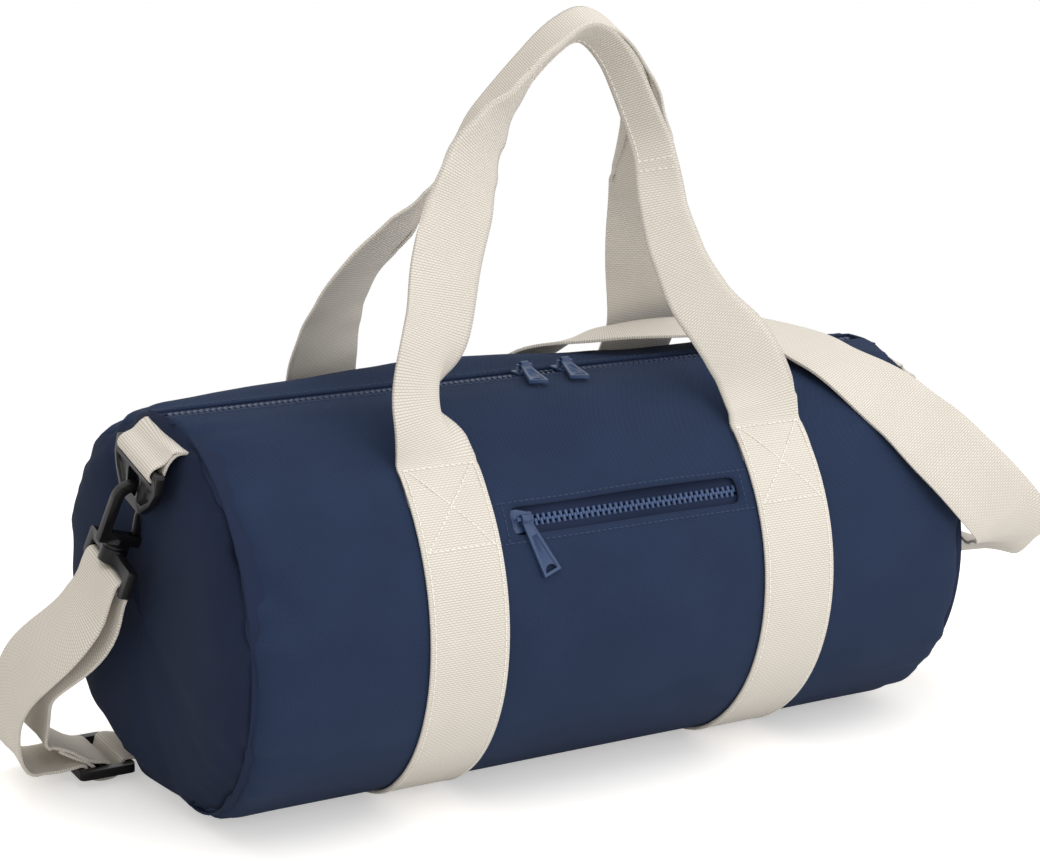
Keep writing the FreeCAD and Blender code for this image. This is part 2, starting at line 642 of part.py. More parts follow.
def ring(side, name):
    """A trapezoid plate: bar and slot for the tab, and a triangular eye for the hook in a raised rim."""
    slot_low = -fold_outer - d.lay_gap
    low = -d.ring_drop - d.ring_foot
    wide = outer_wide / 2
    knee = (slot_low + low) / 2
    rim = d.ring_rim
    outline = [(-wide, d.bar_radius), (-wide, slot_low - 3), (-wide + 4, knee), (-d.ring_base / 2, low)]
    outline += [(-x, z) for x, z in reversed(outline)]
    border = rounded_polygon(outline, d.bar_radius * 0.95)
    eye_high = slot_low - 1.8
    eye = [(-d.eye_base / 2, -d.ring_drop), (d.eye_base / 2, -d.ring_drop)]
    eye += [(d.eye_top / 2, eye_high), (-d.eye_top / 2, eye_high)]
    body = new_body(f"{name}_body")
    add_feature(body, "Pad", f"{name}_plate", "YZ_Plane", border, "sizes.ring_web")
    # The recess beside the eye, one on each side, leaves the rim standing.
    recess = [(-wide + rim, slot_low - rim), (-d.eye_top / 2 - rim, slot_low - rim)]
    recess += [(-d.eye_base / 2 - rim, low + 2 * rim), (-d.ring_base / 2 - rim * 0.4, low + 2 * rim)]
    recess += [(-wide + 4 + rim * 0.7, knee + rim * 0.4)]
    mirrored = [(-x, z) for x, z in reversed(recess)]
    raised = border + rounded_polygon(recess, 0.9) + rounded_polygon(mirrored, 0.9)
    add_feature(body, "Pad", f"{name}_rim", "YZ_Plane", raised, "sizes.ring_thick")
    inside, above = inner_wide / 2, d.bar_radius * 2
    slot = [(-inside, slot_low), (inside, slot_low), (inside, above), (-inside, above)]
    add_feature(body, "Pocket", f"{name}_slot", "YZ_Plane", polygon(slot), "sizes.ring_thick * 2")
    round_bar(body, f"{name}_bar", 0, 0)
    eye_edge = rounded_polygon(eye, 2.0)
    add_feature(body, "Pocket", f"{name}_eye", "YZ_Plane", eye_edge, "sizes.ring_thick * 2")
    body.Placement = in_chain(side, V(0, 0, 0), ring_turn)
    keep(body, name)


def snap_hook(side, name):
    """J-shaped hook: shank outside, bend through the ring's eye, nose above the gate, swivel pin below."""
    inner, outer = d.hook_inner, d.hook_inner + d.hook_limb
    base_top, base_low = -d.hook_throat, -d.hook_throat - d.hook_base
    outline = [
        arc(0, -inner, outer, 0, math.pi),
        Part.LineSegment(V(-outer, -inner, 0), V(-outer, -d.nose_low, 0)),
        Part.LineSegment(V(-outer, -d.nose_low, 0), V(-inner, -d.nose_low, 0)),
        Part.LineSegment(V(-inner, -d.nose_low, 0), V(-inner, -inner, 0)),
        arc(0, -inner, inner, 0, math.pi),
        Part.LineSegment(V(inner, -inner, 0), V(inner, base_top, 0)),
        Part.LineSegment(V(inner, base_top, 0), V(-outer, base_top, 0)),
        Part.LineSegment(V(-outer, base_top, 0), V(-outer, base_low, 0)),
        Part.LineSegment(V(-outer, base_low, 0), V(outer, base_low, 0)),
        Part.LineSegment(V(outer, base_low, 0), V(outer, -inner, 0)),
    ]
    body = new_body(f"{name}_body")
    add_feature(body, "Pad", f"{name}_limb", "XZ_Plane", outline, "sizes.hook_thick")
    # The gate's foot turns in a slot of the base.
    slot = [(-outer - 1, base_top + 1), (-inner + 1.6, base_top + 1), (-inner + 1.6, gate_pivot_z - 2.2)]
    slot += [(-outer - 1, gate_pivot_z - 2.2)]
    slot_wide = "sizes.gate_wide + 2 * sizes.lay_gap"
    add_feature(body, "Pocket", f"{name}_slot", "XZ_Plane", polygon(slot), slot_wide)
    disc = [circle(0, 0, d.flange_wide / 2)]
    flange = add_feature(body, "Pad", f"{name}_flange", "XY_Plane", disc, "sizes.flange_high")
    flange.SideType = "Two sides"
    flange.setExpression("Length", "-(sizes.hook_throat + sizes.hook_base)")
    flange.setExpression("Length2", "sizes.hook_throat + sizes.hook_base + sizes.flange_high")
    pin_edge = [circle(0, 0, d.swivel_pin / 2)]
    pin = add_feature(body, "Pad", f"{name}_pin", "XY_Plane", pin_edge, "sizes.swivel_pin")
    pin.SideType = "Two sides"
    pin.setExpression("Length", "-(sizes.hook_throat + sizes.hook_base / 2)")
    low = "sizes.hook_throat + sizes.hook_base + sizes.flange_high + sizes.barrel_high + 2 * sizes.lay_gap"
    pin.setExpression("Length2", low)
    doc.recompute()
    body.Placement = in_chain(side, hook_top, hook_turn)
    keep(body, name)


gate_pivot_x = -d.hook_inner - d.hook_limb / 2
gate_pivot_z = -d.hook_throat - d.hook_base / 2


def hook_gate(side, name):
    """A sprung lever from its pivot in the hook's base to the inside of the nose."""
    foot = d.gate_thick / 2
    top = -d.nose_low + 1.5
    lip = -d.hook_inner + d.lay_gap
    inside = lip + d.gate_lip
    outline = [
        (gate_pivot_x - foot, gate_pivot_z - foot),
        (gate_pivot_x + foot, gate_pivot_z - foot),
        (inside, -d.nose_low - 3.0),
        (inside, top),
        (lip, top),
        (lip, -d.nose_low - 1.0),
        (gate_pivot_x - foot, -d.hook_throat + 2.0),
    ]
    body = new_body(f"{name}_body")
    add_feature(body, "Pad", f"{name}_lever", "XZ_Plane", polygon(outline), "sizes.gate_wide")
    body.Placement = in_chain(side, hook_top, hook_turn)
    keep(body, name)


def strap_loop(side, name):
    """A rectangular loop with the swivel barrel on its upper bar; the strap goes round the lower bar."""
    top = -barrel_low + d.barrel_high / 2 + d.fitting_side / 2
    wide = outer_wide / 2
    low = -bar_down - d.bar_radius
    inside, under = inner_wide / 2, top - d.fitting_side
    outline = [(-wide, low), (wide, low), (wide, top), (-wide, top)]
    gap = [(-inside, low * 2), (inside, low * 2), (inside, under), (-inside, under)]
    body = new_body(f"{name}_body")
    frame = rounded_polygon(outline, d.bar_radius * 0.9)
    add_feature(body, "Pad", f"{name}_frame", "YZ_Plane", frame, "2 * sizes.bar_radius")
    add_feature(body, "Pocket", f"{name}_gap", "YZ_Plane", polygon(gap), "6 * sizes.bar_radius")
    round_bar(body, f"{name}_bar", 0, -bar_down)
    boss = [circle(0, 0, d.swivel_pin / 2 + d.lay_gap + d.barrel_wall)]
    barrel = add_feature(body, "Pad", f"{name}_barrel", "XY_Plane", boss, "sizes.barrel_high")
    barrel.SideType = "Two sides"
    high = "sizes.hook_throat + sizes.hook_base + sizes.flange_high + sizes.lay_gap"
    barrel.setExpression("Length", f"-({high})")
    barrel.setExpression("Length2", f"{high} + sizes.barrel_high")
    hole = [circle(0, 0, d.swivel_pin / 2 + d.lay_gap)]
    bore = add_feature(body, "Pocket", f"{name}_bore", "XY_Plane", hole, "sizes.barrel_high")
    bore.SideType = "Two sides"
    bore.setExpression("Length", f"{high} + sizes.barrel_high + 1")
    bore.setExpression("Length2", "1")
    body.Placement = in_chain(side, hook_top, hook_turn)
    keep(body, name)


def adjuster(name):
    """A three-bar slide lying on the floor; the sewn end is round its middle bar."""
    wide = outer_wide / 2
    long = d.tri_length / 2
    outline = rounded_polygon([(-long, -wide), (long, -wide), (long, wide), (-long, wide)], 3.0)
    body = new_body(f"{name}_body")
    add_feature(body, "Pad", f"{name}_frame", "XY_Plane", outline, "2 * sizes.bar_radius")
    inside, far = inner_wide / 2, long - d.tri_bar
    slot = polygon([(-far, -inside), (far, -inside), (far, inside), (-far, inside)])
    add_feature(body, "Pocket", f"{name}_slot", "XY_Plane", slot, "6 * sizes.bar_radius")
    round_bar(body, f"{name}_bar", 0, 0)
    keep(place(body, adjuster_at), name)


adjuster_at = V(-half_length - d.tri_out, d.tri_back, fold_outer + 2 * d.lay_gap + d.web_thick)


def strap_frames(stations, steps, start, end):
    """Sections along a smooth path through hand-placed stations of a centre and a width direction."""
    sections = []
    for i, share, centre, along in smooth_path([p for p, _ in stations], steps, start, end):
        across = stations[i][1] * (1 - share) + stations[i + 1][1] * share
        across = (across - along * across.dot(along)).normalize()
        sections.append((centre, across, along.cross(across), d.web_width, d.web_thick))
    return sections


def ribbon_length(sections):
    return sum((b[0] - a[0]).Length for a, b in zip(sections, sections[1:]))


STRAP_FALL = V(0.25, 0, -0.97)


def bight(side, angle, down=0.0):
    """A point of the strap's middle line by its angle round the loop's bar and its way down from there."""
    middle = fold_inner + d.web_thick / 2
    turn = math.radians(angle)
    offset = V(math.cos(turn), 0, math.sin(turn)) * middle + STRAP_FALL * down
    return chain_frame(side).multVec(strap_bar + offset)


def shoulder_strap(name):
    """From its sewn end round the left loop, through the adjuster, up and over to the right loop."""
    flat = V(0, 1, 0)
    roll = chain_frame(1).Rotation.multVec(flat)
    lift = math.radians(d.tail_lift)
    sewn = fold_body(f"{name}_sewn", d.tail_length)
    sewn_turn = turned(V(0, 1, 0), 180 + d.tail_lift)
    keep(place(sewn, adjuster_at, sewn_turn), "strap_sewn_end")
    tail_way = V(-math.cos(lift), 0, math.sin(lift))
    tail = adjuster_at + tail_way * (d.tail_length + d.lay_gap)
    last = fold_body(f"{name}_last", d.tail_length)
    fall_turn = turned(V(0, 1, 0), math.degrees(math.atan2(-STRAP_FALL.z, STRAP_FALL.x)))
    last.Placement = in_chain(1, strap_bar, fall_turn)
    keep(last, "strap_end_right")
    finish = chain_frame(1).multVec(strap_bar + STRAP_FALL * (d.tail_length + d.lay_gap))
    fall = chain_frame(1).Rotation.multVec(STRAP_FALL)

    left = V(-half_length, 0, 0)
    right = V(half_length, 0, 0)
    loop_height = chain_frame(-1).multVec(strap_bar).z
    over = fold_outer + d.lay_gap + d.web_thick / 2
    rest = d.bar_radius + d.lay_gap + d.web_thick / 2
    edge = d.tri_length / 2 - d.tri_bar
    weave = [
        (-edge - d.tri_bar, rest),
        (-edge, rest),
        (-edge + 0.9, rest - 0.4),
        (-edge + 1.5, rest - 1.8),
        (-edge + 2.3, rest - 4.3),
        (-edge * 0.6, -over * 0.72),
        (-edge * 0.3, -over * 0.95),
        (0, -over),
    ]
    weave += [(-x, z) for x, z in weave[-2::-1]]
    mid = V(0, adjuster_at.y, 0)
    stations = [
        (tail, flat),
        (tail + tail_way * 5, flat),
        (left + V(-50, d.tri_back - 4, loop_height * 0.3), flat + V(0, 0, 0.25)),
        (left + V(-51, d.tri_back * 0.62, loop_height * 0.55), flat + V(0, 0, 0.45)),
        (bight(-1, 194, 20), roll + V(0, 0, 0.2)),
        (bight(-1, 194, 8), roll),
        (bight(-1, 194), roll),
        (bight(-1, 149), roll),
        (bight(-1, 104), roll),
        (bight(-1, 59), roll),
        (bight(-1, 14), roll),
        (bight(-1, 14, 8) + V(-0.6, 0, 0), roll),
        (bight(-1, 14, 20) + V(-3, 0, 0), roll + V(0, 0, 0.2)),
        (left + V(-66, d.tri_back * 0.66, loop_height * 0.5), flat + V(0, 0, 0.45)),
        (left + V(-66, d.tri_back - 6, loop_height * 0.22), flat + V(0, 0, 0.25)),
        (left + V(-52, d.tri_back, loop_height * 0.09), flat),
    ]
    stations += [(adjuster_at + V(x, 0, z), flat) for x, z in weave]
    low = d.web_thick * 1.5
    far = d.barrel_radius
    top = axis_z + d.barrel_radius + d.strap_clear
    stations += [
        (left + mid + V(10, 1, low + 2), flat),
        (left + mid + V(42, 10, low), flat),
        (left + V(92, far + 2, low + 14), flat + V(-0.1, 0, -0.55)),
        (left + V(130, far + 15, 42), V(0.35, 0.35, -0.85)),
        (left + V(164, far + 14, 80), V(0.75, 0.05, -0.6)),
        (left + V(190, far + 7, 120), V(0.88, 0, -0.45)),
        (V(10, far * 0.9, axis_z + far * 0.58), V(0.85, 0.2, -0.45)),
        (V(28, far * 0.6, axis_z + far * 0.9), V(0.8, 0.5, -0.2)),
        (V(58, far * 0.34, top - 2), V(0.6, 0.78, 0)),
        (V(95, far * 0.18, top + 1), V(0.4, 0.9, 0.05)),
        (right + V(-68, 0, top + 1), V(0.5, 0.85, 0.05)),
        (right + V(-50, -far * 0.38, top - 9), V(0.82, 0.53, 0.2)),
        (right + V(-28, -far * 0.76, axis_z + far * 0.75), V(0.74, 0.37, 0.55)),
        (right + V(-15, -far * 0.96, axis_z + far * 0.57), V(0.83, 0.0, 0.55)),
        (right + V(12, -far * 1.09, axis_z + far * 0.22), V(0.82, -0.15, 0.5)),
        (right + V(22, -far * 1.06, axis_z + far * 0.08), V(0.8, -0.35, 0.43)),
        (right + V(29, -far * 0.94, axis_z - far * 0.05), V(0.8, -0.5, 0.2)),
        (right + V(33, -far * 0.72, axis_z - far * 0.14), V(0.85, -0.4, -0.3)),
        (right + V(38, -far * 0.45, axis_z - far * 0.26), V(0.97, -0.2, 0)),
        (right + V(42, -far * 0.17, axis_z - far * 0.3), V(0.95, 0.2, -0.1)),
        (right + V(42, far * 0.06, axis_z - far * 0.2), V(0.6, 0.75, -0.3)),
        (finish + fall * 14, roll + V(0.2, 0, 0)),
        (finish + fall * 5, roll),
        (finish, roll),
    ]
    sections = strap_frames(stations, 9.0, tail_way, fall * -1)
    ribbon(name, sections)
    print("shoulder strap length", round(ribbon_length(sections)))


end_panel(-1, "end_panel_left")
end_panel(1, "end_panel_right")
barrel_panel()
binding_out = -d.cloth_thick - d.lay_gap
binding_in = binding_out - d.binding_thick
for side, name in ((-1, "left"), (1, "right")):
    middle_x = side * (panel_half - d.binding_width / 2)
    slot_half = d.main_tape + d.lay_gap
    width = "sizes.binding_width"
    section_strip(f"seam_binding_{name}", binding_out, binding_in, slot_half, middle_x, width)
    band_slot = (d.barrel_radius + d.lay_gap) * math.cos(math.radians(d.handle_angle + 1.5))
    band_out = d.lay_gap + d.web_thick
    band_x = side * d.band_centre
    section_strip(f"webbing_band_{name}", band_out, d.lay_gap, band_slot, band_x, "sizes.web_width")
pocket_lining()

left_x, right_x = d.main_meet - d.slider_apart, d.main_meet + d.slider_apart
pocket_x = -d.pocket_length / 2 + d.slider_length / 2 + d.lay_gap
zip_half = panel_half - d.lay_gap
zip_rows("main_zip", main_turn, d.main_tape, -zip_half, zip_half, [(left_x, 1), (right_x, -1)])
zip_end = d.pocket_length / 2 + d.binding_width / 2
zip_rows("pocket_zip", pocket_turn, d.pocket_tape, -zip_end, zip_end, [(pocket_x, -1)])
slider("main_slider_left", main_turn, d.main_tape, left_x, 1)
slider("main_slider_right", main_turn, d.main_tape, right_x, -1)
slider("pocket_slider", pocket_turn, d.pocket_tape, pocket_x, -1)
pull("main_pull_left", main_turn, d.main_tape, left_x, d.main_pull_yaw, d.main_pull_sink)
pull("main_pull_right", main_turn, d.main_tape, right_x, d.main_pull_yaw, d.main_pull_sink)
pull("pocket_pull", pocket_turn, d.pocket_tape, pocket_x, d.pocket_pull_yaw, d.pocket_pull_sink)

handle("front_handle", -1, d.front_lean, d.front_reach, FRONT_HANDLE)
handle("rear_handle", 1, d.rear_lean, d.rear_reach, REAR_HANDLE)

for side, name in ((-1, "left"), (1, "right")):
    ring_tab(side, f"ring_tab_{name}")
    ring(side, f"ring_{name}")
    snap_hook(side, f"snap_hook_{name}")
    hook_gate(side, f"hook_gate_{name}")
    strap_loop(side, f"strap_loop_{name}")
adjuster("strap_adjuster")
shoulder_strap("shoulder_strap")

doc.recompute()
failed = [o.Label for o in doc.Objects if "Invalid" in o.State or "Error" in o.State]
bad = [o.Label for o in nodes if o.Shape.isNull() or not o.Shape.isValid()]
if failed or bad:
    raise RuntimeError(f"failed {failed}, bad shapes {bad}")
os.makedirs("parts", exist_ok=True)
for node in nodes:
    node.Shape.exportStep(f"parts/{node.Label}.step")
print(len(nodes), "nodes")
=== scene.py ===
import json
import math
import bmesh
import bpy
import numpy as np
from mathutils import Matrix, Vector, noise
from mathutils.bvhtree import BVHTree


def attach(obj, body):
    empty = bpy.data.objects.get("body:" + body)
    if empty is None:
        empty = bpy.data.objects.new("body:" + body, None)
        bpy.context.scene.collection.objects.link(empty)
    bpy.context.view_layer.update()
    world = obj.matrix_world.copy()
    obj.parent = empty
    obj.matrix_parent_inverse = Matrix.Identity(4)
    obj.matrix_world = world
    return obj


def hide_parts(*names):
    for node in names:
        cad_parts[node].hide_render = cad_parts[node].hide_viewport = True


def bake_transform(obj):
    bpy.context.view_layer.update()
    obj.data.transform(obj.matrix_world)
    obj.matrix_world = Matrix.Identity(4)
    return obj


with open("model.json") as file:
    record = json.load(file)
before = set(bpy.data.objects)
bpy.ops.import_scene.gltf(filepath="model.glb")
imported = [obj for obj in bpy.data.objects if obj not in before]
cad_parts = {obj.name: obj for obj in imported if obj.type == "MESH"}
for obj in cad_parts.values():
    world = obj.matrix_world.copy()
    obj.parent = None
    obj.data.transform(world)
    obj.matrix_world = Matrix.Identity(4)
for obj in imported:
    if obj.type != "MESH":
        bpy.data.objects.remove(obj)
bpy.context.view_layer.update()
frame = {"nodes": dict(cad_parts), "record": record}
mm = 0.001

# Sizes are in millimetres in the dictionaries and turned to metres when a mesh is written.
bag = {
    "length": 392, "radius": 98, "corner": 70, "squash": 3.9, "flatShare": 0.16, "cloth": 1.5, "crown": 7,
    "layGap": 0.3, "webWidth": 40, "webThick": 1.6, "bandAt": 90.3, "zipSlot": 13.5, "pocketAngle": 29,
    "pocketLength": 124,
}
half, radius, layGap = bag["length"] / 2, bag["radius"], bag["layGap"]
webWidth, webThick, bandAt = bag["webWidth"], bag["webThick"], bag["bandAt"]
bottomZ = webThick + layGap
axisZ = bottomZ + radius - bag["squash"]
cornerZ = bottomZ + bag["corner"]
cornerY = math.sqrt((radius - bag["corner"]) ** 2 - (axisZ - cornerZ) ** 2)
cornerAngle = math.atan2(cornerZ - axisZ, cornerY)


def smooth(low, high, value):
    share = max(0.0, min(1.0, (value - low) / (high - low)))
    return share * share * (3 - 2 * share)


def bump(middle, reach, value):
    return max(0.0, 1 - ((value - middle) / reach) ** 2) ** 2


def barrelPoint(angle, offset=0.0):
    # a point of the barrel's section and the outward direction there, from the front top round to the rear top
    down = 1.5 * math.pi
    low, high = math.pi - cornerAngle, 2 * math.pi + cornerAngle
    lowFlat, highFlat = down - bag["flatShare"], down + bag["flatShare"]
    if lowFlat <= angle <= highFlat:
        # the flat underside takes the angles in the middle
        share = (angle - lowFlat) / (highFlat - lowFlat)
        return Vector((0, cornerY * (2 * share - 1), bottomZ - offset)), Vector((0, 0, -1))
    centre, reach, turn = Vector((0, 0, axisZ)), radius, angle
    if low < angle < lowFlat:
        turn = low + (angle - low) / (lowFlat - low) * (down - low)
        centre, reach = Vector((0, -cornerY, cornerZ)), bag["corner"]
    elif highFlat < angle < high:
        turn = down + (angle - highFlat) / (high - highFlat) * (high - down)
        centre, reach = Vector((0, cornerY, cornerZ)), bag["corner"]
    out = Vector((0, math.cos(turn), math.sin(turn)))
    return centre + out * (reach + offset), out


def spaced(keys, step):
    marks = [keys[0]]
    for a, b in zip(keys, keys[1:]):
        count = max(1, round(abs(b - a) / step))
        marks += [a + (b - a) * (i + 1) / count for i in range(count)]
    return marks


def measured(frames):
    # writes into each frame its way along the strip
    run, before = 0.0, None
    for f in frames:
        run += (f["at"] - before).length if before is not None else 0.0
        f["run"], before = run, f["at"]
    return frames


def ringFrames(marks, offset, x):
    # frames round the barrel at a height off its cloth
    frames = []
    for angle in marks:
        centre, out = barrelPoint(angle, offset)
        centre.x = x
        frames.append({"at": centre, "across": Vector((1, 0, 0)), "normal": out})
    return measured(frames)


def newObject(name, bm, material):
    mesh = bpy.data.meshes.new(name)
    bm.transform(Matrix.Scale(mm, 4))
    bm.to_mesh(mesh)
    bm.free()
    obj = bpy.data.objects.new(name, mesh)
    bpy.context.scene.collection.objects.link(obj)
    if material is not None:
        mesh.materials.append(material)
    for face in mesh.polygons:
        face.use_smooth = True
    return obj


def gridMesh(rows, cols, place):
    # a grid of rows x cols points, each put in place with its own uv in metres
    bm = bmesh.new()
    bmesh.ops.create_grid(bm, x_segments=cols - 1, y_segments=rows - 1, size=1)
    uvLayer = bm.loops.layers.uv.new("weave")
    uvOf = {}
    for index, vert in enumerate(bm.verts):
        vert.co, uvOf[vert] = place(*divmod(index, cols))
    for face in bm.faces:
        for loop in face.loops:
            u, v = uvOf[loop.vert]
            loop[uvLayer].uv = (u * mm, v * mm)
    return bm


def addThickness(obj, thick, offset, levels=0, even=True):
    if levels:
        soften = obj.modifiers.new("soften", "SUBSURF")
        soften.levels = soften.render_levels = levels
        soften.boundary_smooth = "PRESERVE_CORNERS"
    wall = obj.modifiers.new("wall", "SOLIDIFY")
    wall.thickness = thick * mm
    wall.offset = offset
    wall.use_even_offset = even


def settle(obj):
    # applies the live modifiers, so that the mesh is final
    graph = bpy.context.evaluated_depsgraph_get()
    baked = bpy.data.meshes.new_from_object(obj.evaluated_get(graph), preserve_all_data_layers=True, depsgraph=graph)
    obj.modifiers.clear()
    old = obj.data
    obj.data = baked
    bpy.data.meshes.remove(old)


def declare(obj, nodes, body="bag"):
    # the body that the piece rides, if it is given one, and the nodes that it stands for, which are hidden
    if body:
        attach(obj, body)
    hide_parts(*nodes)


class Graph:
    # a node tree with short ways to add to it
    def __init__(self, tree):
        self.nodes, self.links = tree.nodes, tree.links

    def feed(self, socket, value):
        if isinstance(value, bpy.types.NodeSocket):
            self.links.new(value, socket)
        else:
            socket.default_value = (*value, 1) if isinstance(value, tuple) else value

    def give(self, node, values):
        for label, value in values.items():
            self.feed(node.inputs[label], value)

    def add(self, kind, values=None):
        node = self.nodes.new("ShaderNode" + kind)
        self.give(node, values or {})
        return node

    def maths(self, operation, *values):
        node = self.add("Math", dict(enumerate(values)))
        node.operation = operation
        return node.outputs[0]

    def wave(self, value, turn):
        return self.maths("SINE", self.maths("MULTIPLY", value, turn))

    def mix(self, factor, a, b, blend="MIX"):
        node = self.nodes.new("ShaderNodeMix")
        node.data_type, node.blend_type = "RGBA", blend
        self.give(node, {0: factor, 6: a, 7: b})
        return node.outputs[2]

    def group(self, tree, values):
        node = self.nodes.new("ShaderNodeGroup")
        node.node_tree = tree
        self.give(node, values)
        return node.outputs

    def weaveUv(self):
        node = self.nodes.new("ShaderNodeUVMap")
        node.uv_map = "weave"
        return node.outputs[0]


def newGroup(name, inputs, outputs):
    # an input without a value is a vector, and all else is a number
    tree = bpy.data.node_groups.new(name, "ShaderNodeTree")
    for label, value in inputs.items():
        kind = "NodeSocketVector" if value is None else "NodeSocketFloat"
        socket = tree.interface.new_socket(label, in_out="INPUT", socket_type=kind)
        if value is not None:
            socket.default_value = value
    for label in outputs:
        tree.interface.new_socket(label, in_out="OUTPUT", socket_type="NodeSocketFloat")
    return tree, Graph(tree), tree.nodes.new("NodeGroupInput").outputs, tree.nodes.new("NodeGroupOutput").inputs


def makeTwillGroup():
    # diagonal ribs of a twill, broken up by the threads that cross them
    tree, graph, given, result = newGroup(
        "twillWeave", {"Cloth UV": None, "Pitch": 0.001, "Slope": 1.7}, ["Height", "Thread"]
    )
    split = graph.add("SeparateXYZ", {0: given["Cloth UV"]}).outputs
    u = graph.maths("DIVIDE", split[0], given["Pitch"])
    v = graph.maths("DIVIDE", split[1], given["Pitch"])
    rib = graph.wave(graph.maths("ADD", graph.maths("MULTIPLY", u, given["Slope"]), v), 2 * math.pi)
    cross = graph.wave(u, 4 * math.pi)
    both = graph.maths("ADD", rib, graph.maths("MULTIPLY", cross, 0.3))
    graph.feed(result["Height"], graph.maths("MULTIPLY", both, 0.5))
    graph.feed(result["Thread"], graph.maths("MULTIPLY_ADD", both, 0.38, 0.5))
    return tree


def makeRibGroup():
    # webbing: rows of short floats across the tape, each row stepped half a float, with painted shade in the gaps
    # between them
    tree, graph, given, result = newGroup(
        "webbingRibs", {"Web UV": None, "Row": 0.0011, "Float": 0.0022}, ["Height", "GapShade"]
    )
    split = graph.add("SeparateXYZ", {0: given["Web UV"]}).outputs
    row = graph.maths("DIVIDE", split[1], given["Row"])
    column = graph.maths("DIVIDE", split[0], given["Float"])
    stepped = graph.maths("ADD", column, graph.maths("MULTIPLY", graph.maths("FLOOR", row), 0.5))
    lift = graph.maths("MULTIPLY_ADD", graph.wave(stepped, 2 * math.pi), 0.25, 0.75)
    body = graph.maths("MULTIPLY", graph.wave(graph.maths("FRACT", row), math.pi), lift)
    graph.feed(result["Height"], body)
    graph.feed(result["GapShade"], graph.maths("SUBTRACT", 1, body))
    return tree


def makePatchGroup():
    # soft unevenness of colour over a piece
    tree, graph, given, result = newGroup("softPatches", {"Place": None, "Size": 20.0, "Strength": 0.1}, ["Shade"])
    cloud = graph.add("TexNoise", {"Detail": 4, "Vector": given["Place"], "Scale": given["Size"]})
    centred = graph.maths("SUBTRACT", cloud.outputs["Fac"], 0.5)
    graph.feed(result["Shade"], graph.maths("ADD", graph.maths("MULTIPLY", centred, given["Strength"]), 1))
    return tree


twillGroup, ribGroup, patchGroup = makeTwillGroup(), makeRibGroup(), makePatchGroup()


def startMaterial(name, roughness, specular, sheen=0.0):
    material = bpy.data.materials.new(name)
    material.use_nodes = True
    graph = Graph(material.node_tree)
    shader = graph.nodes["Principled BSDF"]
    graph.give(shader, {"Roughness": roughness, "Specular IOR Level": specular})
    if sheen:
        graph.give(shader, {"Sheen Weight": sheen, "Sheen Roughness": 0.5})
    return material, graph, shader


def finishMaterial(graph, shader, colour, patchSize, patchStrength, height, strength, depth):
    # uneven colour and a raised surface
    place = graph.add("TexCoord").outputs["Object"]
    shade = graph.group(patchGroup, {"Size": patchSize, "Strength": patchStrength, "Place": place})["Shade"]
    tone = graph.add("CombineColor", {0: shade, 1: shade, 2: shade}).outputs[0]
    raised = graph.add("Bump", {"Strength": strength, "Distance": depth, "Height": height}).outputs[0]
    graph.give(shader, {"Base Color": graph.mix(1.0, colour, tone, "MULTIPLY"), "Normal": raised})


def twillMaterial(name, dark, light, pitch, slope, depth):
    material, graph, shader = startMaterial(name, 0.85, 0.06, sheen=0.02)
    weave = graph.group(twillGroup, {"Pitch": pitch, "Slope": slope, "Cloth UV": graph.weaveUv()})
    colour = graph.mix(weave["Thread"], dark, light)
    finishMaterial(graph, shader, colour, 26.0, 0.35, weave["Height"], 0.55, depth)
    return material


def webbingMaterial(name, light, dark, depth):
    material, graph, shader = startMaterial(name, 0.8, 0.2, sheen=0.08)
    ribs = graph.group(ribGroup, {"Web UV": graph.weaveUv()})
    # the tan mixed into the gaps between the floats is painted shade on the cream tape
    colour = graph.mix(graph.maths("POWER", ribs["GapShade"], 2.2), light, dark)
    finishMaterial(graph, shader, colour, 40.0, 0.08, ribs["Height"], 0.3, depth)
    return material


def mouldedMaterial(name, colour, roughness, grain, specular):
    material, graph, shader = startMaterial(name, roughness, specular)
    place = graph.add("TexCoord").outputs["Object"]
    speckle = graph.add("TexNoise", {"Scale": 2600, "Detail": 2, "Vector": place}).outputs["Fac"]
    finishMaterial(graph, shader, colour, 90.0, 0.25, speckle, grain, 0.00005)
    return material


navyTwill = twillMaterial("navyTwill", (0.009, 0.016, 0.041), (0.031, 0.051, 0.106), 0.00125, 1.75, 0.0002)
# the end panels are the same navy twill as the barrel; their darker colours are painted shade for the ends, and only
# the twill's direction is their own
shadedEndTwill = twillMaterial("shadedEndTwill", (0.008, 0.012, 0.031), (0.022, 0.034, 0.072), 0.00125, -1.3, 0.0002)
# the second, tan colour of the webbing is painted shade for the gaps of its weave
creamWeb = webbingMaterial("creamWebbing", (0.71, 0.695, 0.66), (0.43, 0.37, 0.29), 0.00016)
creamThread = mouldedMaterial("creamThread", (0.84, 0.81, 0.76), 0.8, 0.3, 0.2)
navyThread = mouldedMaterial("navyThread", (0.034, 0.055, 0.112), 0.8, 0.3, 0.2)
tapeCloth = mouldedMaterial("zipTape", (0.010, 0.018, 0.048), 0.85, 0.5, 0.2)
toothPlastic = mouldedMaterial("zipTeeth", (0.018, 0.034, 0.085), 0.42, 0.15, 0.35)
pocketTooth = mouldedMaterial("pocketTeeth", (0.045, 0.080, 0.180), 0.42, 0.15, 0.3)
sliderPaint = mouldedMaterial("sliderPaint", (0.028, 0.055, 0.132), 0.36, 0.1, 0.3)
blackPlastic = mouldedMaterial("blackPlastic", (0.005, 0.005, 0.006), 0.3, 0.2, 0.22)
print("materials made")

shot = {
    "from": (-558.4, -994.0, 427.4), "at": (-22.245, -21.781, 168.949), "focal": 2351.2, "photoWidth": 1040,
    "sensor": 36,
}


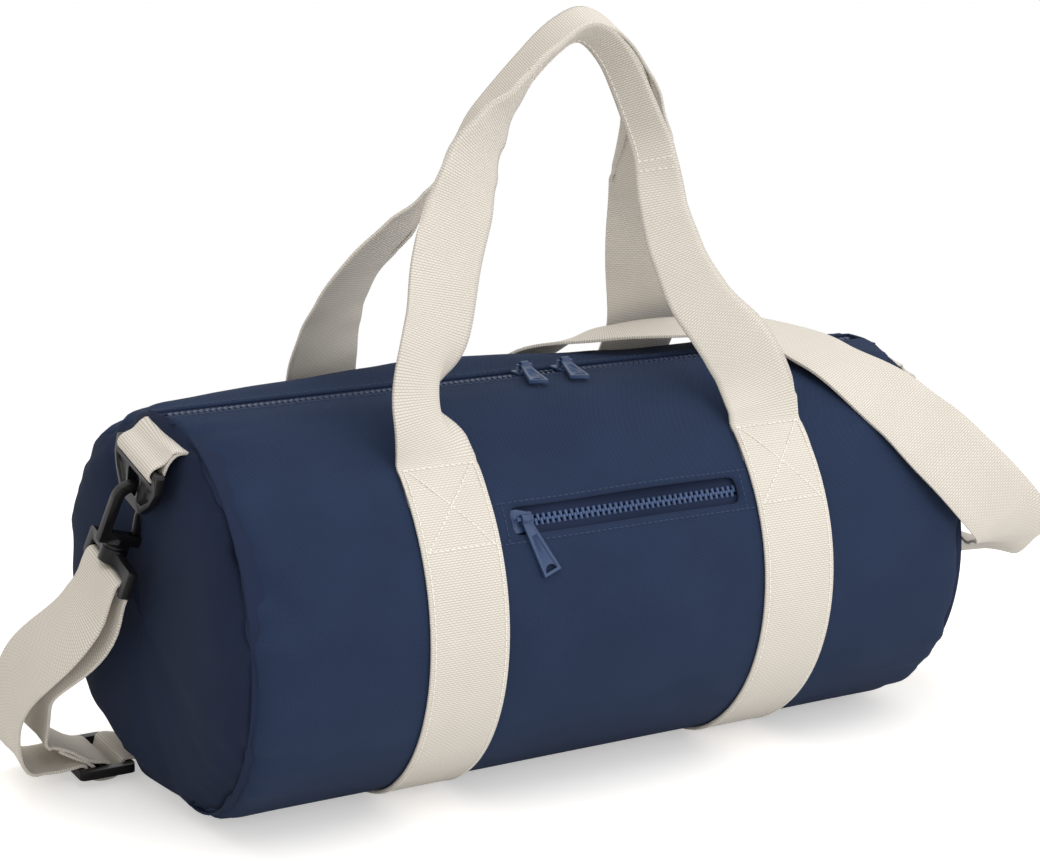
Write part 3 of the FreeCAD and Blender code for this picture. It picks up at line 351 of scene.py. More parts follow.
def makeCamera():
    camera = bpy.data.cameras.new("photoCamera")
    camera.sensor_width = shot["sensor"]
    camera.lens = shot["focal"] / shot["photoWidth"] * shot["sensor"]
    camera.clip_start, camera.clip_end = 0.05, 50
    obj = bpy.data.objects.new("photoCamera", camera)
    obj.location = Vector(shot["from"]) * mm
    look = (Vector(shot["at"]) - Vector(shot["from"])).normalized()
    obj.rotation_euler = look.to_track_quat("-Z", "Y").to_euler()
    bpy.context.scene.collection.objects.link(obj)
    bpy.context.scene.camera = obj


# Lamps are in metres.
lamps = {
    "overhead": {"at": (0.2, -0.5, 2.2), "towards": (0, 0, 0.1), "size": 2.4, "watts": 28},
    "frontFill": {"at": (0.9, -2.2, 0.6), "towards": (0, 0, 0.2), "size": 1.8, "watts": 19},
    "leftFill": {"at": (-1.7, -1.3, 0.7), "towards": (0, 0, 0.25), "size": 1.6, "watts": 5},
    "rightSide": {"at": (1.9, -0.8, 1.2), "towards": (0, 0, 0.15), "size": 1.2, "watts": 4},
}
studio = {"ambient": 0.64, "warm": (1.0, 0.94, 0.86), "white": (1.0, 1.0, 1.0)}


def makeLight():
    for name, lamp in lamps.items():
        light = bpy.data.lights.new(name, "AREA")
        light.energy = lamp["watts"]
        light.size = lamp["size"]
        obj = bpy.data.objects.new(name, light)
        obj.location = lamp["at"]
        way = Vector(lamp["towards"]) - Vector(lamp["at"])
        obj.rotation_euler = way.to_track_quat("-Z", "Y").to_euler()
        bpy.context.scene.collection.objects.link(obj)
    world = bpy.data.worlds.new("studio")
    bpy.context.scene.world = world
    world.use_nodes = True
    graph = Graph(world.node_tree)
    rays = graph.add("LightPath").outputs
    seen = graph.maths("MAXIMUM", rays["Is Camera Ray"], rays["Is Glossy Ray"])
    seen = graph.maths("MAXIMUM", seen, rays["Is Transmission Ray"])
    colour = graph.mix(seen, studio["warm"], studio["white"])
    strength = graph.maths("MULTIPLY_ADD", seen, 1 - studio["ambient"], studio["ambient"])
    graph.give(graph.nodes["Background"], {0: colour, 1: strength})
    bpy.context.scene.view_settings.view_transform = "Standard"


# The floor's radius is in millimetres and its fade in metres.
floorLook = {"radius": 6000, "colour": (0.93, 0.93, 0.93), "glow": 0.42, "fade": (0.42, 0.9)}


def makeFloor():
    bm = bmesh.new()
    bmesh.ops.create_circle(bm, cap_ends=True, segments=96, radius=floorLook["radius"])
    material, graph, shader = startMaterial("whiteFloor", 0.9, 0.0)
    graph.give(shader, {"Base Color": floorLook["colour"]})
    seen = graph.maths("MULTIPLY", graph.add("LightPath").outputs["Is Camera Ray"], floorLook["glow"])
    glow = graph.add("Emission", {"Strength": seen})
    lit = graph.add("AddShader", {0: shader.outputs[0], 1: glow.outputs[0]})
    # further out the floor gives way to the white behind it
    away = graph.add("VectorMath", {0: graph.add("TexCoord").outputs["Object"]})
    away.operation = "LENGTH"
    low, high = floorLook["fade"]
    fade = graph.add("MapRange", {"From Min": low, "From Max": high, "Value": away.outputs["Value"]})
    fade.interpolation_type = "SMOOTHSTEP"
    clear = graph.add("BsdfTransparent")
    both = graph.add("MixShader", {0: fade.outputs[0], 1: lit.outputs[0], 2: clear.outputs[0]})
    graph.give(graph.nodes["Material Output"], {"Surface": both.outputs[0]})
    newObject("floor", bm, material)


makeCamera()
makeLight()
makeFloor()
print("camera, light and floor made")

# The cloth shell: barrel and ends as one skin, eased by a cloth simulation and cut into its panels.
shell = {
    "step": 6.0, "roundStep": 0.062, "rings": 15, "endX": 195.6, "swell": 2.2, "endSwell": 2.6, "rollIn": 2.8,
    "rearSwell": 9.0, "zipDip": 1.6, "dents": 2.4, "lean": 18.0, "wander": 2.6, "puff": 3.0, "fold": 2.4,
    "frames": 22, "most": 5.0, "calmed": 34.0, "calmSteps": 14,
}
clothSettings = {
    "quality": 6, "mass": 0.25, "tension_stiffness": 18, "compression_stiffness": 18, "shear_stiffness": 6,
    "bending_stiffness": 0.6, "use_pressure": True, "uniform_pressure_force": 2.0, "vertex_group_mass": "held",
    "vertex_group_shrink": "seam", "shrink_max": 0.035,
}
# Where the cloth's reliefs set in and end: ways from the zip, heights, and places along the bag.
# rearMiddle is the middle of a relief and its reach.
ranges = {
    "swellByZip": (6, 70), "swellByFloor": (20, 60), "dipByZip": (26, 2), "rollByZip": (4, 34),
    "rearLeft": (-170, -60), "rearRight": (45, -30), "rearMiddle": (36, 34), "rearEnds": (192, 150),
    "dentByZip": (8, 40), "dentByFloor": (12, 45), "freeFront": (8, 52), "freeRear": (6, 30), "puckerByZip": (6, 34),
}
puckers = {
    "high": 2.6, "reach": 15.0, "rim": 90, "face": 97, "fades": 60,
    "waves": [(17, 0.4, 0.8), (29, 2.1, 0.9), (37, 4.4, 0.9), (46, 1.3, 0.6)],
}
footAngle = 49  # height of the handles' stitch lines, in degrees round the barrel
slotAngle = math.asin(bag["zipSlot"] / 2 / radius)
pocketMid = math.pi - math.radians(bag["pocketAngle"])
pocketHalf = bag["zipSlot"] / 2 / radius
pocketEnd = bag["pocketLength"] / 2
roundKeys = [math.pi / 2 + slotAngle, pocketMid - pocketHalf, pocketMid + pocketHalf, 2.5 * math.pi - slotAngle]
roundMarks = spaced(roundKeys, shell["roundStep"])
roundLengths = [f["run"] for f in ringFrames(roundMarks, 0.0, 0.0)]
bandEdge = (bandAt - webWidth / 2, bandAt + webWidth / 2)
bandTop = (math.pi / 2 - math.radians(footAngle)) * radius  # way from the zip down to the handles' feet
lengthKeys = [pocketEnd, bandEdge[0], bandEdge[1], shell["endX"]]
lengthMarks = spaced([-key for key in reversed(lengthKeys)] + lengthKeys, shell["step"])


def clothOffset(i, x):
    s, height = roundLengths[i], barrelPoint(roundMarks[i])[0].z
    fromZip = min(s, roundLengths[-1] - s)
    side = abs(x)
    lift = 0.0
    if side < bandEdge[0]:
        lift += shell["swell"] * (1 - (x / bandEdge[0]) ** 2)
    elif side > bandEdge[1]:
        lift += shell["endSwell"] * math.sin(math.pi * (side - bandEdge[1]) / (half - bandEdge[1]))
    lift *= smooth(*ranges["swellByZip"], fromZip) * smooth(*ranges["swellByFloor"], height)
    if bandEdge[0] - 1 < side < bandEdge[1] + 1 and fromZip > bandTop - 6:
        lift = -0.1
    lift -= shell["zipDip"] * smooth(*ranges["dipByZip"], fromZip)
    lift -= shell["rollIn"] * math.exp(-(((half - side) / 5) ** 2)) * smooth(*ranges["rollByZip"], fromZip)
    if s > roundLengths[-1] / 2:
        along = smooth(*ranges["rearLeft"], x) * smooth(*ranges["rearRight"], x)
        spread = 0.35 * smooth(*ranges["rearEnds"], side) + 0.65 * along
        lift += shell["rearSwell"] * bump(*ranges["rearMiddle"], fromZip) * spread
    # soft dents left by the last load, though not under the bands
    dent = noise.noise(Vector((x / 70, s / 80, 3.1))) + 0.5 * noise.noise(Vector((x / 34, s / 38, 8.7)))
    dent *= smooth(webWidth / 2, 34, abs(side - bandAt))
    return lift + shell["dents"] * dent * smooth(*ranges["dentByZip"], fromZip) * smooth(*ranges["dentByFloor"], height)


def leanShare(y):
    return shell["lean"] * smooth(-30, radius, y) / (half - bandEdge[1])


def endShift(x, y, z):
    # the left end stands further out at the rear, and both end seams wander
    out = -leanShare(y) * max(0.0, -x - bandEdge[1])
    around = math.atan2(z - axisZ, y)
    drift = noise.noise(Vector((2.2 * math.cos(around), 2.2 * math.sin(around), math.copysign(1.3, x) + 4.2)))
    return out + shell["wander"] * drift * math.exp(-(((half - abs(x)) / 16) ** 2))


def beforeLean(x, y):
    share = leanShare(y)
    return (x - share * bandEdge[1]) / (1 + share) if x < -bandEdge[1] else x


def shellPoint(i, j):
    x = lengthMarks[j]
    centre, out = barrelPoint(roundMarks[i])
    co = centre + out * clothOffset(i, x)
    return Vector((x + endShift(x, co.y, co.z), co.y, co.z)), (x, roundLengths[i])


def endDisc(side, tag):
    # a crowned end, in rings from the barrel's rim to its middle
    rows, gapSteps, rings = len(roundMarks), 3, shell["rings"]
    column = 0 if side < 0 else len(lengthMarks) - 1
    rim = [shellPoint(i, column)[0] for i in range(rows)]
    first, last = rim[0], rim[-1]
    rim += [last.lerp(first, (k + 1) / (gapSteps + 1)) for k in range(gapSteps)] + [first]
    level = side * shell["endX"]
    middle = Vector((level, 0, axisZ))

    def discPoint(k, n):
        out = 1 - k / rings
        co = middle + (rim[n] - middle) * out
        fold = noise.noise(Vector((co.y / 60, co.z / 75, 5.3 + side))) * shell["fold"] * smooth(1.0, 0.7, out)
        puff = bag["crown"] * (1 - out**2) + shell["puff"] * (1 - out**8)
        flat, edge = endShift(level, co.y, co.z), endShift(level, rim[n].y, rim[n].z)
        co.x = level + flat + (edge - flat) * out**8 + side * (puff + fold)
        return co, (co.y, co.z)

    disc = gridMesh(rings + 1, len(rim), discPoint)
    part = disc.faces.layers.int.new("part")
    for face in disc.faces:
        face[part] = tag
    if side < 0:
        bmesh.ops.reverse_faces(disc, faces=disc.faces)
    return disc


def makeShell():
    bm = gridMesh(len(roundMarks), len(lengthMarks), shellPoint)
    bm.faces.layers.int.new("part")
    for side, tag in ((-1, 1), (1, 2)):
        disc = endDisc(side, tag)
        spare = bpy.data.meshes.new("spare")
        disc.to_mesh(spare)
        disc.free()
        bm.from_mesh(spare)
        bpy.data.meshes.remove(spare)
    bmesh.ops.remove_doubles(bm, verts=bm.verts, dist=0.01)
    bmesh.ops.recalc_face_normals(bm, faces=bm.faces)
    lowest = min(bm.faces, key=lambda face: face.calc_center_median().z)
    if lowest.normal.z > 0:
        bmesh.ops.reverse_faces(bm, faces=bm.faces)
    return newObject("clothShell", bm, None)


def freeShare(x, y, z):
    # how far the cloth may swell: little beside the zip at the front and behind the rings
    if abs(x) > shell["endX"] + 1 and math.hypot(y, z - axisZ) < 88:
        return 0.4
    if z < axisZ + 40:
        return 1.0
    return smooth(*ranges["freeFront"], -y) if y < 0 else smooth(*ranges["freeRear"], y)


def pucker(x, y, z):
    # gathers that run in from the end seams and die away
    x = beforeLean(x, y)
    around, out = math.atan2(z - axisZ, y), math.hypot(y, z - axisZ)
    away = abs(half - abs(x)) if out > puckers["rim"] else puckers["face"] - out
    if away > puckers["fades"] or z < bottomZ + 2:
        return (0.0, 0.0, 0.0)
    wave = sum(size * math.sin(turns * around + phase + 1.7 * x / half) for turns, phase, size in puckers["waves"])
    rise = puckers["high"] * wave / 1.6 * math.exp(-away / puckers["reach"])
    if z > axisZ + 60:
        rise *= smooth(*ranges["puckerByZip"], abs(y))  # calmer beside the zip and the tab
    if out > puckers["rim"]:
        return (0.0, rise * y / out, rise * (z - axisZ) / out)
    return (math.copysign(0.8 * rise, x), 0.0, 0.0)


def holdShell(obj, points):
    # bands, zips and floor hold the cloth, and the end seams draw in
    hold = obj.vertex_groups.new(name="held")
    seam = obj.vertex_groups.new(name="seam")
    pocketY, pocketZ = math.cos(pocketMid) * radius, axisZ + math.sin(pocketMid) * radius
    bandHigh = axisZ + radius * math.sin(math.radians(footAngle + 2))
    slot = bag["zipSlot"] / 2
    for index, (x, y, z) in enumerate(points):
        side = abs(beforeLean(x, y))
        onBand = bandEdge[0] - 2 < side < bandEdge[1] + 2 and z < bandHigh
        byZip = abs(y) < slot + 0.5 and z > axisZ + 60 and side < half - 3
        onFloor = z < bottomZ + 1.2 and side < half - 3
        byPocket = side < pocketEnd + 2 and math.hypot(y - pocketY, z - pocketZ) < slot + 1.5
        if onBand or byZip or onFloor or byPocket:
            hold.add([index], 1.0, "REPLACE")
        if math.hypot(y, z - axisZ) > 86 and abs(half - side) < 4:
            seam.add([index], 1.0, "REPLACE")


def easeShell(obj):
    # pressure swells the cloth between what holds it
    count = len(obj.data.vertices)
    start = np.zeros(count * 3, np.float32)
    obj.data.vertices.foreach_get("co", start)
    start = start.reshape(-1, 3)
    holdShell(obj, start / mm)
    cloth = obj.modifiers.new("cloth", "CLOTH")
    for key, value in clothSettings.items():
        setattr(cloth.settings, key, value)
    cloth.settings.effector_weights.gravity = 0
    cloth.collision_settings.use_collision = False
    cloth.point_cache.frame_start, cloth.point_cache.frame_end = 1, shell["frames"]
    scene = bpy.context.scene
    for step in range(1, shell["frames"] + 1):
        scene.frame_set(step)
    graph = bpy.context.evaluated_depsgraph_get()
    eased = np.zeros(count * 3, np.float32)
    obj.evaluated_get(graph).data.vertices.foreach_get("co", eased)
    obj.modifiers.clear()
    scene.frame_set(1)
    moved = eased.reshape(-1, 3) - start
    size = np.linalg.norm(moved, axis=1, keepdims=True)
    moved *= np.minimum(1.0, shell["most"] * mm / np.maximum(size, 1e-9))
    moved *= np.array([freeShare(*co) for co in start / mm], np.float32)[:, None]
    print("shell eased by up to", round(float(size.max() / mm), 2), "mm")
    final = start + moved + np.array([pucker(*co) for co in start / mm], np.float32) * mm
    final[:, 2] = np.maximum(final[:, 2], bottomZ * mm - 0.0002)
    obj.data.vertices.foreach_set("co", final.ravel())
    obj.data.update()
    calmEnds(obj)


def calmEnds(obj):
    # the middles of the ends, where the rings of the mesh crowd, are smoothed
    bm = bmesh.new()
    bm.from_mesh(obj.data)
    near, beyond = shell["calmed"] * mm, 0.19
    middle = [v for v in bm.verts if math.hypot(v.co.y, v.co.z - axisZ * mm) < near and abs(v.co.x) > beyond]
    for _ in range(shell["calmSteps"]):
        bmesh.ops.smooth_vert(bm, verts=middle, factor=0.5, use_axis_x=True, use_axis_y=False, use_axis_z=False)
    bm.to_mesh(obj.data)
    bm.free()


def pocketHole(face):
    centre = face.calc_center_median() / mm
    angle = math.atan2(centre.z - axisZ, centre.y) % (2 * math.pi)
    return abs(centre.x) < pocketEnd and abs(angle - pocketMid) < pocketHalf and centre.y < -60


def cutPanel(source, name, tag, material, node):
    bm = bmesh.new()
    bm.from_mesh(source.data)
    part = bm.faces.layers.int["part"]
    spare = [f for f in bm.faces if f[part] != tag or (tag == 0 and pocketHole(f))]
    bmesh.ops.delete(bm, geom=spare, context="FACES")
    bm.transform(Matrix.Scale(1 / mm, 4))
    panel = newObject(name, bm, material)
    addThickness(panel, bag["cloth"], -1, levels=1)
    declare(panel, [node])
    return panel


clothShell = makeShell()
easeShell(clothShell)
barrelPanel = cutPanel(clothShell, "barrelCloth", 0, navyTwill, "barrel_panel")
cutPanel(clothShell, "endClothLeft", 1, shadedEndTwill, "end_panel_left")
cutPanel(clothShell, "endClothRight", 2, shadedEndTwill, "end_panel_right")
bpy.data.objects.remove(clothShell)
print("cloth panels made")


def smoothRoute(points, first=None, last=None):
    # a smooth curve through points, with given directions at its ends or free ones
    pts = np.array([list(p) for p in points], float)
    span = np.linalg.norm(np.diff(pts, axis=0), axis=1)
    knots = np.concatenate([[0], np.cumsum(span)])
    count = len(pts)
    left, right = np.zeros((count, count)), np.zeros((count, 3))
    for i in range(1, count - 1):
        left[i, i - 1], left[i, i + 1] = 1 / span[i - 1], 1 / span[i]
        left[i, i] = 2 * (1 / span[i - 1] + 1 / span[i])
        right[i] = 3 * ((pts[i] - pts[i - 1]) / span[i - 1] ** 2 + (pts[i + 1] - pts[i]) / span[i] ** 2)
    for end, given, near, gap in ((0, first, 1, span[0]), (count - 1, last, count - 2, span[-1])):
        left[end, end] = 1 if given is not None else 2 / gap
        if given is None:
            left[end, near] = 1 / gap
            right[end] = 3 * abs(end - near) * (pts[max(end, near)] - pts[min(end, near)]) / gap**2
        else:
            right[end] = list(given)
    slopes = np.linalg.solve(left, right)

    def at(s):
        i = min(max(int(np.searchsorted(knots, s, "right")) - 1, 0), count - 2)
        gap = span[i]
        t = (s - knots[i]) / gap
        co = (2 * t**3 - 3 * t**2 + 1) * pts[i] + (t**3 - 2 * t**2 + t) * gap * slopes[i]
        co += (-2 * t**3 + 3 * t**2) * pts[i + 1] + (t**3 - t**2) * gap * slopes[i + 1]
        way = (6 * t**2 - 6 * t) * (pts[i] - pts[i + 1]) / gap + (3 * t**2 - 4 * t + 1) * slopes[i]
        way += (3 * t**2 - 2 * t) * slopes[i + 1]
        return Vector(co), Vector(way).normalized()

    return at, knots


def stripFrames(stations, step):
    # frames along a strip of webbing, from points that each have a width direction
    at, knots = smoothRoute([p for p, _ in stations])
    frames = []
    for i in range(len(stations) - 1):
        count = max(2, round((knots[i + 1] - knots[i]) / step))
        for k in range(count + (i == len(stations) - 2)):
            centre, along = at(knots[i] + (knots[i + 1] - knots[i]) * k / count)
            across = Vector(stations[i][1]).lerp(Vector(stations[i + 1][1]), smooth(0, 1, k / count))
            across = (across - along * across.dot(along)).normalized()
            frames.append({"at": centre, "across": across, "normal": along.cross(across)})
    return measured(frames)


selvedge = {"share": 0.35, "sharp": math.radians(50)}


def strip(name, frames, width, thick, lanes=9, material=creamWeb):
    def place(i, j):
        f = frames[i]
        w = (j / (lanes - 1) - 0.5) * width
        return f["at"] + f["across"] * w, (w, f["run"])

    obj = newObject(name, gridMesh(len(frames), lanes, place), material)
    addThickness(obj, thick, 0)
    edge = obj.modifiers.new("selvedge", "BEVEL")
    edge.width = thick * selvedge["share"] * mm
    edge.segments = 2
    edge.limit_method = "ANGLE"
    edge.angle_limit = selvedge["sharp"]
    return obj


bandStart = math.pi - math.radians(47.6)


def makeBand(name, side, node):
    marks = spaced([bandStart, 3 * math.pi - bandStart], 0.05)
    frames = ringFrames(marks, layGap + webThick / 2, side * bandAt)
    band = strip(name, frames, webWidth, webThick)
    declare(band, [node])
    return frames


bandFrames = {
    -1: makeBand("webbingBandLeft", -1, "webbing_band_left"),
    1: makeBand("webbingBandRight", 1, "webbing_band_right"),
}

# A handle's stations: shares of the half span and of the reach, degrees turned on edge, share folded lengthwise.
frontHandle = {
    "node": "front_handle", "side": -1, "lean": 9.0, "reach": 190.6, "kept": 1, "curl": 52.0, "curlAt": 26.0,
    "stations": [
        (-1.0, 0.0, 0, 0.0), (-1.03, 0.118, 16, 0.0), (-1.0, 0.226, 20, 0.0), (-0.93, 0.314, 16, 0.0),
        (-0.863, 0.449, 13, 0.0), (-0.77, 0.574, 14, 0.04), (-0.675, 0.682, 22, 0.16), (-0.54, 0.77, 37, 0.42),
        (-0.393, 0.845, 58, 0.78), (-0.262, 0.911, 66, 1.0), (-0.117, 0.962, 72, 1.0), (0.06, 1.0, 72, 1.0),
        (0.215, 0.94, 68, 1.0), (0.3, 0.855, 62, 1.0), (0.36, 0.777, 57, 1.0), (0.41, 0.7, 42, 1.0),
        (0.44, 0.574, 28, 0.9), (0.505, 0.447, 22, 0.74), (0.65, 0.306, 18, 0.52), (0.88, 0.17, 18, 0.22),
        (1.0, 0.0, 0, 0.0),
    ],
}
rearHandle = {
    "node": "rear_handle", "side": 1, "lean": 23.0, "reach": 209.0, "kept": -1, "curl": 0.0, "curlAt": 27.0,
    "stations": [
        (-1.0, 0.0, 0, 0.0), (-1.01, 0.11, 9, 0.0), (-1.0, 0.22, 18, 0.0), (-0.965, 0.29, 25, 0.0),
        (-0.86, 0.388, 30, 0.0), (-0.69, 0.478, 33, 0.05), (-0.55, 0.57, 46, 0.24), (-0.44, 0.665, 68, 0.6),
        (-0.3, 0.773, 83, 0.95), (-0.12, 0.885, 86, 1.0), (0.065, 0.974, 89, 1.0), (0.2, 1.0, 91, 1.0),
        (0.345, 0.98, 91, 1.0), (0.53, 0.905, 90, 1.0), (0.69, 0.8, 84, 0.8), (0.745, 0.7, 70, 0.3),
        (0.85, 0.517, 45, 0.0), (0.95, 0.316, 25, 0.0), (1.04, 0.105, 8, 0.0), (1.0, 0.0, 0, 0.0),
    ],
}
# A foot's rows: degrees round the barrel and how far the tape stands proud of the band there.
footRows = [(37.0, -0.5), (39.5, -0.2), (42.0, 0.15), (44.5, 0.3), (45.9, 0.28), (46.9, 0.0), (47.9, 0.35), (48.9, 0.9)]
grip = {
    "steps": 170, "footRise": 6.0, "curlReach": 19, "least": 0.08, "apart": webThick + 0.25, "rollFrom": 5,
    "rollFull": 14, "bend": (-3, 12),
}
hingeRadius = radius + 2 * layGap + 1.5 * webThick
hingeY = hingeRadius * math.cos(math.radians(footAngle))
hingeZ = axisZ + hingeRadius * math.sin(math.radians(footAngle))


def footFrames(side, x):
    # a foot comes up out of its band and bends away from it
    frames = []
    for angle, proud in footRows:
        turn = math.radians(180 - angle) if side < 0 else math.radians(360 + angle)
        middle, out = barrelPoint(turn, layGap + webThick / 2 + proud)
        middle.x = x * bandAt
        normal = -out if side < 0 else out
        frames.append({"at": middle, "across": Vector((-x, 0, 0)), "normal": normal, "fold": 0.0, "curl": 0.0})
    return frames


def handleFrames(spec):
    side, stations = spec["side"], spec["stations"]
    path = [Vector((bandAt * x, 0, spec["reach"] * z)) for x, z, _, _ in stations]
    at, knots = smoothRoute(path, (0, 0, 1), (0, 0, -1))
    lean = Matrix.Rotation(math.radians(spec["lean"] * side), 4, "X")
    foot = Vector((0, side * hingeY, hingeZ))
    frames = []
    for k in range(grip["steps"] + 1):
        s = grip["footRise"] + (knots[-1] - 2 * grip["footRise"]) * k / grip["steps"]
        centre, along = at(s)
        i = min(max(int(np.searchsorted(knots, s, "right")) - 1, 0), len(stations) - 2)
        share = smooth(0, 1, (s - knots[i]) / (knots[i + 1] - knots[i]))
        turn, fold = (stations[i][n] + (stations[i + 1][n] - stations[i][n]) * share for n in (2, 3))
        turn = math.radians(turn)
        normal = Vector((0, 1, 0)) * math.cos(turn) + Vector((-along.z, 0, along.x)) * math.sin(turn)
        curl = math.radians(spec["curl"]) * math.exp(-(((s - spec["curlAt"]) / grip["curlReach"]) ** 2))
        place = {"at": lean @ centre + foot, "across": lean @ normal.cross(along), "normal": lean @ normal}
        frames.append({**place, "fold": fold, "curl": curl})
    return measured(footFrames(side, -1) + frames + footFrames(side, 1)[::-1])


def flapWidth(f):
    return webWidth / 2 * max(f["fold"], grip["least"])


def foldedPoint(f, s, kept):
    # a point of the tape by its way across: the spare side is folded flat behind the rest
    flap = flapWidth(f)
    line = flap - webWidth / 2
    angle = math.pi * smooth(0, grip["least"], f["fold"])
    closed = smooth(0, 0.3, f["fold"])
    e = kept * s
    over, up = e, -grip["apart"] / 2 * smooth(0.55, 0.95, f["fold"])
    if e < line:
        over = line - (line - e) * math.cos(angle)
        up += (line - e) * math.sin(angle) + grip["apart"] * closed * smooth(0, 2.2, line - e)
    edge = grip["rollFrom"]
    if e > edge and f["curl"] > 0:
        # the side towards the other leg rolls back a little above the foot
        roll = f["curl"] * smooth(edge, grip["rollFull"], e)
        over = edge + (e - edge) * math.cos(roll)
        up += (e - edge) * math.sin(roll)
    over -= flap * closed / 2
    return f["at"] + f["across"] * (kept * over) + f["normal"] * (kept * up)


def bendAtFoot(obj):
    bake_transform(obj)


def makeHandle(name, spec):
    frames = handleFrames(spec)
    flatLanes, flapLanes = 13, 8
    reach = webWidth / 2

    def place(i, j):
        # lanes are shared out on both sides of the fold, so that it stays a clean line
        line = flapWidth(frames[i]) - reach
        if j <= flatLanes:
            e = reach + (line - reach) * j / flatLanes
        else:
            e = line - (line + reach) * (j - flatLanes) / flapLanes
        s = spec["kept"] * e
        return foldedPoint(frames[i], s, spec["kept"]), (s, frames[i]["run"])

    obj = newObject(name, gridMesh(len(frames), flatLanes + flapLanes + 1, place), creamWeb)
    addThickness(obj, webThick, 0, even=False)
    settle(obj)
    bendAtFoot(obj)
    declare(obj, [spec["node"]], body=None)
    return frames


frontFrames = makeHandle("frontHandle", frontHandle)
rearFrames = makeHandle("rearHandle", rearHandle)
print("bands and handles made")

# Fittings and strap hang in a frame on each ring's bar: x outward, y along the bar, z up.
chain = {
    "out": 14.5, "fore": 8.0, "below": 19.5, "roll": 12.0, "ringTilt": 6.0, "hookTilt": 17.3, "ringDrop": 17.0,
    "hookSeat": 1.1, "barDown": 41.5, "tabAngle": 134.0, "tabLength": 21.0, "barRadius": 2.2, "tabDive": (4.0, -6.0),
}
adjuster = {"length": 28.0, "bar": 3.4, "back": 70.0, "out": 18.0, "tailLength": 26.0, "tailLift": 32.0}
foldMiddle = chain["barRadius"] + layGap + webThick / 2
foldOuter = chain["barRadius"] + layGap + webThick
strapFall = Vector((0.25, 0, -0.97))


def chainFrame(side):
    base = Vector((side * (half + chain["out"]), -chain["fore"], axisZ + radius - chain["below"]))
    spin = Matrix.Rotation(0 if side > 0 else math.pi, 4, "Z")
    return Matrix.Translation(base) @ Matrix.Rotation(math.radians(chain["roll"]), 4, "X") @ spin


def chainWay(side, way):
    return (chainFrame(side).to_3x3() @ Vector(way)).normalized()


ringTurn = Matrix.Rotation(-math.radians(chain["ringTilt"]), 4, "Y")
hookTurn = Matrix.Rotation(-math.radians(chain["hookTilt"]), 4, "Y")
hookTop = ringTurn @ Vector((0, 0, -chain["ringDrop"] + chain["hookSeat"]))
strapBar = hookTop + hookTurn @ Vector((0, 0, -chain["barDown"]))
adjusterAt = Vector((-half - adjuster["out"], adjuster["back"], foldOuter + 2 * layGap + webThick))


def bight(angle, down=0.0):
    # the strap's turn round the left loop's bar
    turn = math.radians(angle)
    offset = Vector((math.cos(turn), 0, math.sin(turn))) * foldMiddle + strapFall * down
    return chainFrame(-1) @ (strapBar + offset)


def foldRoute(bar, away, lift, tail, width, short=0.0, dive=Vector((0, 0, 0))):
    # webbing that comes along one side, turns round a bar and goes back along the other
    layer = webThick / 2 + 0.06
    out = [(tail, layer), (tail * 0.6, layer), (foldOuter * 1.5, layer + 0.35), (foldOuter * 0.7, foldMiddle * 0.8)]
    route = [bar + away * x + lift * y for x, y in out]
    for turn in (0, 45, 90, 135, 180):
        a = math.radians(turn)
        route.append(bar + (lift * math.cos(a) - away * math.sin(a)) * foldMiddle)
    route += [bar + away * x - lift * y for x, y in reversed(out[1:])] + [bar + away * (tail - short) - lift * layer]
    route[0], route[-1] = route[0] + dive, route[-1] + dive
    return [(p, width) for p in route]


def adjusterWeave():
    # over the near bar, under the middle one and over the far one
    over = foldOuter + layGap + webThick / 2
    rest = chain["barRadius"] + layGap + webThick / 2
    edge = adjuster["length"] / 2 - adjuster["bar"]
    weave = [
        (-edge - adjuster["bar"], rest), (-edge, rest), (-edge + 0.9, rest - 0.4), (-edge + 1.5, rest - 1.8),
        (-edge + 2.3, rest - 4.3), (-edge * 0.6, -over * 0.72), (-edge * 0.3, -over * 0.95), (0, -over),
    ]
    return weave + [(-x, z) for x, z in weave[-2::-1]]


